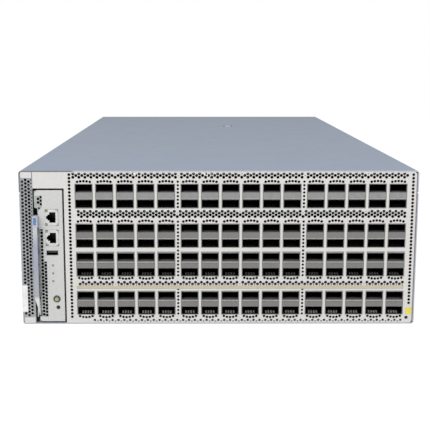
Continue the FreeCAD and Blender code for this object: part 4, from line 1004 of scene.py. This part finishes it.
# %% Contacts, lamps and corner tabs of the network jacks
CONTACTS = 8
CONTACT_PITCH, JACK_LAMP, LAMP_IN, TAB_LONG, TAB_WIDE, TAB_OUT = mm(1.02, 2.4, 0.5, 2.6, 0.45, 0.2)
CONTACT_PATH = ((4, 0.1), (6, 1.3), (13, 2.6), (16, 2.6))
contacts, lit, clear, tabs = [bmesh.new() for _ in range(4)]
for name in ("lower_network_jack", "upper_network_jack"):
    low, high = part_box(name)
    middle = (low.z + high.z) / 2
    wall = high.x - 2.8 * MM
    outline = [(wall - off * MM, low.y + step * MM) for step, off in CONTACT_PATH]
    outline += [(wall - off * MM - 0.25 * MM, low.y + step * MM) for step, off in CONTACT_PATH[::-1]]
    for k in range(CONTACTS):
        z = middle + (k - (CONTACTS - 1) / 2) * CONTACT_PITCH
        prism(contacts, "Z", outline, z - 0.22 * MM, z + 0.22 * MM)
    for z in (low.z + LAMP_IN, high.z - LAMP_IN - JACK_LAMP):
        lamps = lit if z > middle and name.startswith("upper") else clear
        block(lamps, (low.x + LAMP_IN, low.y - 0.15 * MM, z),
              (low.x + LAMP_IN + JACK_LAMP, low.y + 2 * MM, z + JACK_LAMP))
    for x, inward in ((low.x, 1), (high.x, -1)):
        for z, upward in ((low.z, 1), (high.z, -1)):
            for wide, tall in ((TAB_LONG, TAB_WIDE), (TAB_WIDE, TAB_LONG)):
                (x0, x1), (z0, z1) = sorted((x, x + inward * wide)), sorted((z, z + upward * tall))
                block(tabs, (x0, low.y - TAB_OUT, z0), (x1, low.y, z1))
piece("jack_corners", tabs, grey_plastic, "control_module")
piece("jack_contacts", contacts, gold, "control_module")
piece("jack_lamps", clear, lens_clear, "control_module", edge=0.2 * MM)
piece("link_lamp", lit, lamp_green, "control_module", edge=0.2 * MM)
print("contacts:", 2 * CONTACTS)

# %% The ring round the push button, the serial socket's contacts, the reset button's rim
button = middle_of(*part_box("push_button"))[::2]
shape = bmesh.new()
ring = ((2.45, 0), (2.45, -0.7), (3.0, -1.0), (3.6, -0.8), (4.1, -0.2), (4.1, 0))
turned(shape, button, profile(MM, module_low.y, *ring), sides=40)
piece("button_ring", shape, dark_ring, "control_module")

USB_PINS = 4
usb_low, usb_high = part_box("usb_socket")
usb_x = (usb_low.x + usb_high.x) / 2
shape = bmesh.new()
for k in range(USB_PINS):
    x = usb_x + (k - (USB_PINS - 1) / 2) * 2.2 * MM - 0.4 * MM
    block(shape, (x - 0.5 * MM, usb_low.y + 5.6 * MM, usb_low.z + 2.6 * MM),
          (x + 0.5 * MM, usb_low.y + 12 * MM, usb_low.z + 2.8 * MM))
piece("usb_contacts", shape, gold, "control_module")
shape = blocks((usb_x - 5.2 * MM, usb_low.y + 1.6 * MM, usb_low.z + 2.9 * MM),
               (usb_x + 4.4 * MM, usb_low.y + 5.4 * MM, usb_low.z + 4.3 * MM))
piece("usb_tongue_tip", shape, grey_plastic, "control_module", edge=0.3 * MM)

reset_low, reset_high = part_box("reset_button")
reset_r = (reset_high.x - reset_low.x) / 2
RESET_RIM = ((0.1, 0), (0.2, 0.15), (0.6, 0.12), (0.6, 0))
rim = [(reset_r + out * MM, module_low.y - step * MM) for out, step in RESET_RIM]
shape = bmesh.new()
turned(shape, middle_of(reset_low, reset_high)[::2], rim, sides=32)
piece("reset_rim", shape, black_plastic, "control_module")
print("module trims are on")

# %% [markdown]
# ## Ports
# Each pocket has spring fingers on its floor that press on a plugged module, and
# the bar between the two ports of a cage is a folded strip with a lip along it.
# The lips face the board that the cage stands on, so they are above in the lower
# rows and below in the upper ones.

# %% Dividers and connectors in the cages
DIVIDER_DROP, DIVIDER_LIFT, DIVIDER_LONG, FOLD, NICK = mm(0.75, 0.35, 45.6, 0.4, 0.5)
SOCKET_LIP, SOCKET_OUT, SOCKET_IN = mm(0.6, 7, 1.6)
connector_low, connector_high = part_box("port_connectors")
divider_levels = levels("port_connectors", 2)
bars = [[z for z in divider_levels if row[0] < z < row[-1]][1:3] for row in rows]
front, end = connector_low.y, connector_low.y + DIVIDER_LONG
socket_end, back_end = end + SOCKET_OUT, connector_high.y
fronts, sockets, lips = [bmesh.new() for _ in range(3)]
for number, (row, (low, high)) in enumerate(zip(rows, bars)):
    top = high - DIVIDER_DROP
    lip = low + 1.2 * MM if number < 2 else top - 1.9 * MM
    low += DIVIDER_LIFT
    outline = [(front + FOLD, low), (front, low + FOLD), (front, lip - NICK), (front + NICK, lip - NICK),
               (front + NICK, lip), (front, lip), (front, top - FOLD), (front + FOLD, top),
               (front + 3 * MM, top), (front + 6 * MM, high), (end, high), (end, low)]
    for left, right in cages:
        x0, x1 = left + cage_wall, right - cage_wall
        prism(fronts, "X", outline, x0, x1)
        block(lips, (x0, front - 0.25 * MM, lip + 0.1 * MM), (x1, front + 0.6 * MM, lip + 0.9 * MM))
        for z0, z1 in ((row[0] + cage_wall, low), (high, row[-1] - cage_wall)):
            under, over = (z0 + z1) / 2 - SOCKET_LIP, (z0 + z1) / 2 + SOCKET_LIP
            mouth = [(end, z0), (end, under), (socket_end, under), (socket_end, over), (end, over),
                     (end, z1), (back_end, z1), (back_end, z0)]
            prism(sockets, "X", mouth, x0 + SOCKET_IN, x1 - SOCKET_IN)
port_dividers = piece("port_dividers", fronts, divider_steel, "chassis")
port_sockets = piece("port_sockets", sockets, black_plastic, "chassis")
for made in (port_dividers, port_sockets):
    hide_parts("port_connectors")
# The lips are painted lighter than the dividers, a painted highlight where they catch light from above.
piece("divider_lips", lips, lip_steel, "chassis")
shape = bmesh.new()
for row, gasket in zip(rows, GASKETS):
    for left, right in cages:
        block(shape, (left, face_y + 0.35 * MM, row[-1]), (right, face_y + 1.4 * MM, row[-1] + gasket))
piece("cage_gaskets", shape, edge_steel, "chassis")
print("dividers:", len(rows) * len(cages), "divider height mm:", round((bars[0][1] - bars[0][0]) / MM, 2))

# %% Spring fingers on the ports' floors
FINGERS = mm(-4.4, -1.5, 1.5, 4.4)
FINGER_W, FINGER_H = mm(1.7, 2.0)
foot_y, bump_y, tip_y = [face_y + step for step in mm(5.5, 8.5, 11.5)]
shape = bmesh.new()
for row in rows:
    floor_z = row[0] + cage_wall
    bump = [(foot_y, floor_z), (bump_y, floor_z + FINGER_H), (tip_y, floor_z)]
    for left, right in cages:
        for dx in FINGERS:
            x = (left + right) / 2 + dx
            prism(shape, "X", bump, x - FINGER_W / 2, x + FINGER_W / 2)
piece("port_fingers", shape, finger_steel, "chassis")
print("fingers:", len(FINGERS) * len(rows) * len(cages))

# %% [markdown]
# A yellow tab, left blank, marks the wrist strap's jack at the lower right
# corner. It is film on the face, so its edges are only just rounded.

# %% Yellow tab over the wrist strap's jack
TAB_HALF = 3.6 * MM
tab_x, tab_z = bush_x + 2.4 * MM, bush_z + 7.8 * MM
shape = bmesh.new()
square = rectangle(tab_x - TAB_HALF, tab_x + TAB_HALF, tab_z - TAB_HALF, tab_z + TAB_HALF)
prism(shape, "Y", square, face_y - 0.12 * MM, face_y)
piece("yellow_tab", shape, yellow_film, "chassis", edge=0.05 * MM)
print("yellow tab mm:", round(2 * TAB_HALF / MM, 1))

# %% [markdown]
# ## The rear
# Three fan trays stand over four power supplies. The rotor is the one curved
# shape in the machine: each blade twists from a steep root to a flatter tip and
# leans forward, so air leaves it evenly. It is drawn ring by ring, from the hub
# to the tip, as an angle and a rise along the axis. Screws, lamps and the
# inlets' linings are small turned or punched shapes.

# %% One curved blade
BLADES = 5
BLADE_RINGS = (
    # radius, rise along the axis, half angle in degrees, lean in degrees
    (18.0 * MM, 26 * MM, 27.0, 0.0),
    (27.0 * MM, 25 * MM, 26.0, 3.0),
    (36.5 * MM, 23 * MM, 25.0, 8.0),
    (46.5 * MM, 21 * MM, 24.0, 14.0),
    (56.2 * MM, 19 * MM, 23.0, 22.0),
)
CAMBER, THICK = mm(1.6, 1.5)
CHORD_STEPS = 7


def blade_skin(bm, centre, middle, turn, side):
    """One side of a twisted blade, as a ring of corners for each radius."""
    rings = []
    for radius, rise, half, lean in BLADE_RINGS:
        ring = []
        for k in range(CHORD_STEPS):
            share = 2 * k / (CHORD_STEPS - 1) - 1
            angle = math.radians(turn + lean + half * share)
            bulge = 1 - share * share
            y = middle + rise / 2 * share + CAMBER * bulge + side * THICK / 2 * (0.25 + 0.75 * bulge)
            x, z = centre[0] + radius * math.cos(angle), centre[1] + radius * math.sin(angle)
            ring.append(bm.verts.new((x, y, z)))
        rings.append(ring)
    return rings


def fan_blade(bm, centre, middle, turn):
    """Two skins of a twisted blade, joined round their rim."""
    skins = [blade_skin(bm, centre, middle, turn, side) for side in (-1, 1)]
    last = CHORD_STEPS - 1
    strips = [pair for rings in skins for pair in zip(rings, rings[1:])]
    strips += [(skins[0][ring], skins[1][ring]) for ring in (0, -1)]
    for near, far in strips:
        for k in range(last):
            bm.faces.new((near[k], near[k + 1], far[k + 1], far[k]))
    for k in (0, last):
        for (low, next_low), (high, next_high) in zip(*(zip(rings, rings[1:]) for rings in skins)):
            bm.faces.new((low[k], next_low[k], next_high[k], high[k]))


print("blade rings:", len(BLADE_RINGS))

# %% Three rotors
HUB_R, SHAFT_R, SHAFT_LONG, SHAFT_IN = mm(20, 2.4, 4, 1)
fans = []
for number in (1, 2, 3):
    low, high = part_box(f"fan_rotor_{number}")
    centre = ((low.x + high.x) / 2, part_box(f"fan_housing_{number}")[0].z + 60 * MM)
    fans.append(centre)
    front, end = low.y, high.y - SHAFT_LONG
    hub = profile(HUB_R, front, (0, 0.6), (0.3, 0.6), (0.34, 0), (0.8, 0), (0.95, 0.8), (1, 3))
    root = end - SHAFT_IN
    shape = bmesh.new()
    turned(shape, centre, hub + [(HUB_R, end), (0, end)], sides=40)
    turned(shape, centre, [(0, root), (SHAFT_R, root), (SHAFT_R, high.y), (0, high.y)], sides=16)
    for k in range(BLADES):
        fan_blade(shape, centre, (front + end) / 2, 360 * k / BLADES)
    rotor = piece(f"rotor_blades_{number}", shape, fan_plastic, f"rotor_{number}")
    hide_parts(f"fan_rotor_{number}")
print("rotors:", len(fans), "hub radius mm:", round(HUB_R / MM, 1))


# %% Screws and lamps of the fan trays
def status_lamp(name, body, place, *corners):
    shape = bmesh.new()
    turned(shape, place, profile(MM, rear_y, *corners), sides=20)
    piece(name, shape, lamp_green, body)


FAN_HOLES = 52.5 * MM
for number, (x, z) in enumerate(fans, 1):
    tray_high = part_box(f"fan_tray_{number}")[1]
    shape = bmesh.new()
    for dx in (-FAN_HOLES, FAN_HOLES):
        for dz in (-FAN_HOLES, FAN_HOLES):
            screw(shape, (x + dx, z + dz), rear_y, 2.9 * MM)
    piece(f"fan_screws_{number}", shape, screw_steel, f"fan_module_{number}")
    status_lamp(f"fan_lamp_{number}", f"fan_module_{number}", (tray_high.x - 7 * MM, tray_high.z - 6 * MM),
                (1.6, 0), (1.6, 0.5), (1.1, 1.1), (0, 1.3))
print("fan screws:", 4 * len(fans))

# %% Linings and lamps of the supplies
INLET_W, INLET_H, INLET_IN, INLET_DEEP = mm(24.6, 17.4, 4.5, 14)
FLANGE, FLANGE_T, RIM, SLANT, WALL_FIT = mm(1, 0.9, 1.5, 3.6, 0.1)
for number in (1, 2, 3, 4):
    low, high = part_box(f"supply_case_{number}")
    middle = (low.z + high.z) / 2
    x0, x1 = low.x + INLET_IN, low.x + INLET_IN + INLET_W
    z0, z1 = middle - INLET_H / 2, middle + INLET_H / 2
    mouth = [(x0 + RIM, z0 + RIM), (x1 - RIM, z0 + RIM), (x1 - RIM, z1 - RIM - SLANT),
             (x1 - RIM - SLANT, z1 - RIM), (x0 + RIM + SLANT, z1 - RIM), (x0 + RIM, z1 - RIM - SLANT)]
    shape = bmesh.new()
    for out, y0, y1 in ((FLANGE, rear_y, rear_y + FLANGE_T), (-WALL_FIT, rear_y - INLET_DEEP, rear_y)):
        plate(shape, "Y", rectangle(x0 - out, x1 + out, z0 - out, z1 + out), mouth, y0, y1)
    piece(f"inlet_lining_{number}", shape, black_plastic, f"supply_{number}", edge=0.3 * MM)
    status_lamp(f"supply_lamp_{number}", f"supply_{number}", (high.x - 11 * MM, high.z - 4.5 * MM),
                (1.5, 0), (1.5, 0.4), (0.9, 0.9), (0, 1.1))
print("inlet mouth mm:", round((INLET_W - 2 * RIM) / MM, 1), "by", round((INLET_H - 2 * RIM) / MM, 1))

# %% Screws and earth studs of the rear frame
top_z = (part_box("fan_tray_1")[1].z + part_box("rear_frame")[1].z) / 2
shape = bmesh.new()
for k in range(-3, 4):
    screw(shape, (k * 71.5 * MM, top_z), rear_y, 1.6 * MM)
for x in (-57 * MM, 57 * MM):
    for z in (8 * MM, 35 * MM):
        screw(shape, (x, z), rear_y, 2.6 * MM)
piece("frame_screws", shape, screw_steel, "chassis")
THREADS = 6
thread = [pair for turn in range(THREADS) for pair in ((2.5, 5.0 + 0.8 * turn), (2.15, 5.4 + 0.8 * turn))]
STUD = (
    # corners of the washer, the nut and the threaded end, and their number of sides
    (((5.6, 0), (5.6, 1), (0, 1)), 28),
    (((4.6, 1), (4.6, 4.4), (4.1, 4.8), (0, 4.8)), 6),
    (((2.4, 4.6), *thread, (0, 9.6)), 20),
)
shape = bmesh.new()
for x in (-8 * MM, 8 * MM):
    for corners, sides in STUD:
        turned(shape, (x, 21.5 * MM), profile(MM, rear_y, *corners), sides)
piece("earth_studs", shape, brass, "chassis")
print("turned shapes in a stud:", len(STUD), "threads:", THREADS)

# %% [markdown]
# ## The module's board
# The module slides out, so its board is seen then. It carries flat packages with
# rounded edges, and a bank of round capacitors by its rear plug.

# %% Packages and capacitors
board_low, board_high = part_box("module_board")
sink_low, sink_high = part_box("module_heat_sink")
board_face = jack_high.x
PACKAGES = (
    # distance behind the front, height, width, height of the package
    (70, 30, 14, 14), (70, 56, 9, 9), (98, 128, 20, 12), (124, 128, 20, 12), (104, 24, 12, 18),
    (128, 24, 12, 18), (58, 100, 7, 7), (58, 118, 7, 7), (180, 132, 10, 6), (200, 132, 10, 6),
)
PACKAGE_T, CAN_R = mm(1.4, 3.6)


def under_sink(near, far, low, high):
    """Whether a part's outline meets that of the heat sink."""
    return far > sink_low.y and near < sink_high.y and high > sink_low.z and low < sink_high.z


shape = bmesh.new()
for y, z, wide, tall in PACKAGES:
    near, far = board_low.y + (y - wide / 2) * MM, board_low.y + (y + wide / 2) * MM
    low, high = (z - tall / 2) * MM, (z + tall / 2) * MM
    if not under_sink(near, far, low, high):
        block(shape, (board_face - PACKAGE_T, near, low), (board_face, far, high))
piece("board_packages", shape, chip_plastic, "control_module", edge=0.25 * MM)
CAN = ((1, 0), (1, -1.2), (0.92, -1.6), (1, -2.0), (1, -7.4), (0.9, -7.8), (0, -7.8))
shape = bmesh.new()
cans = 0
for row in range(3):
    for k in range(6):
        y, z = board_high.y - (30 + 11 * row) * MM, (18 + 11 * k) * MM
        if not under_sink(y - CAN_R, y + CAN_R, z - CAN_R, z + CAN_R):
            turned(shape, (y, z), profile(CAN_R, board_face, *CAN), sides=20, axis="X")
            cans += 1
piece("board_cans", shape, aluminium, "control_module")
print("capacitors:", cans)

# %% [markdown]
# ## Camera, floor and light
# The case is seen from the front, a little above its top edge and a little left
# of its middle. The lens and the place of the camera were found from the
# corners of the case, whose true sizes are known. The floor is pale, and for
# the camera most of its colour is a plain white glow, so the background is
# white while the contact shadow still shows.

# %% Camera
CAMERA_X, CAMERA_BACK, CAMERA_UP = mm(-23.0, 893, 301)
TILT_DOWN, TURN = 8.79, -0.16
LENS = 68.6
SHIFT_X, SHIFT_Y = 0.034, -0.0775
camera_data = bpy.data.cameras.new("camera")
camera_data.lens = LENS
camera_data.shift_x = SHIFT_X
camera_data.shift_y = SHIFT_Y
camera_data.clip_start = 0.01
camera = show("camera", camera_data)
camera.location = (CAMERA_X, face_y - CAMERA_BACK, CAMERA_UP)
camera.rotation_euler = (math.radians(90 - TILT_DOWN), 0, math.radians(TURN))
scene.camera = camera
print("camera at mm:", [round(v / MM) for v in camera.location])

# %% Floor
GLOW, GLOW_SHARE = 1.16, 0.8
FLOOR_REACH = 12.0
floor_white = Finish("floor_white", (243, 243, 243), 0.9)
surface = floor_white.tree.nodes["Material Output"].inputs["Surface"]
glow = floor_white.add("ShaderNodeEmission", {"Strength": GLOW}).outputs["Emission"]
rays = floor_white.add("ShaderNodeLightPath").outputs
either = {0: rays["Is Camera Ray"], 1: rays["Is Glossy Ray"]}
seen = floor_white.add("ShaderNodeMath", either, operation="MAXIMUM")
share = floor_white.add("ShaderNodeMath", {0: seen.outputs["Value"], 1: GLOW_SHARE}, operation="MULTIPLY")
lit_floor = floor_white.tree.nodes["Principled BSDF"].outputs["BSDF"]
mix = floor_white.add("ShaderNodeMixShader", {"Fac": share.outputs["Value"], 1: lit_floor, 2: glow})
feed(floor_white.tree, surface, mix.outputs["Shader"])
shape = bmesh.new()
corners = rectangle(-FLOOR_REACH, FLOOR_REACH, -FLOOR_REACH, FLOOR_REACH)
shape.faces.new([shape.verts.new((x, y, cad_low.z - 0.2 * MM)) for x, y in corners])
floor = new_object("floor", shape, floor_white)
print("floor is", 2 * FLOOR_REACH, "m across")

# %% Light
WORLD_LIGHT = 0.46
scene.world = bpy.data.worlds.new("studio")
scene.world.use_nodes = True
world_tree = scene.world.node_tree
ray = add_node(world_tree, "ShaderNodeLightPath").outputs["Is Camera Ray"]
level = add_node(world_tree, "ShaderNodeMapRange", {"Value": ray, "To Min": WORLD_LIGHT, "To Max": 1.0})
background = world_tree.nodes["Background"].inputs
feed(world_tree, background["Strength"], level.outputs["Result"])
background["Color"].default_value = (1, 1, 1, 1)


def area_lamp(name, place, aim, size, power):
    data = bpy.data.lights.new(name, "AREA")
    data.size = size
    data.energy = power
    lamp = show(name, data)
    lamp.location = place
    lamp.rotation_euler = (Vector(aim) - Vector(place)).to_track_quat("-Z", "Y").to_euler()


area_lamp("key_lamp", (-1.2, -2.2, 1.9), aim=(-0.1, -0.2, 0.1), size=1.6, power=36)
area_lamp("fill_lamp", (1.6, -1.9, 1.1), aim=(0, -0.2, 0.1), size=1.4, power=13)
scene.view_settings.view_transform = "Standard"
print("lamps:", len(bpy.data.lights))
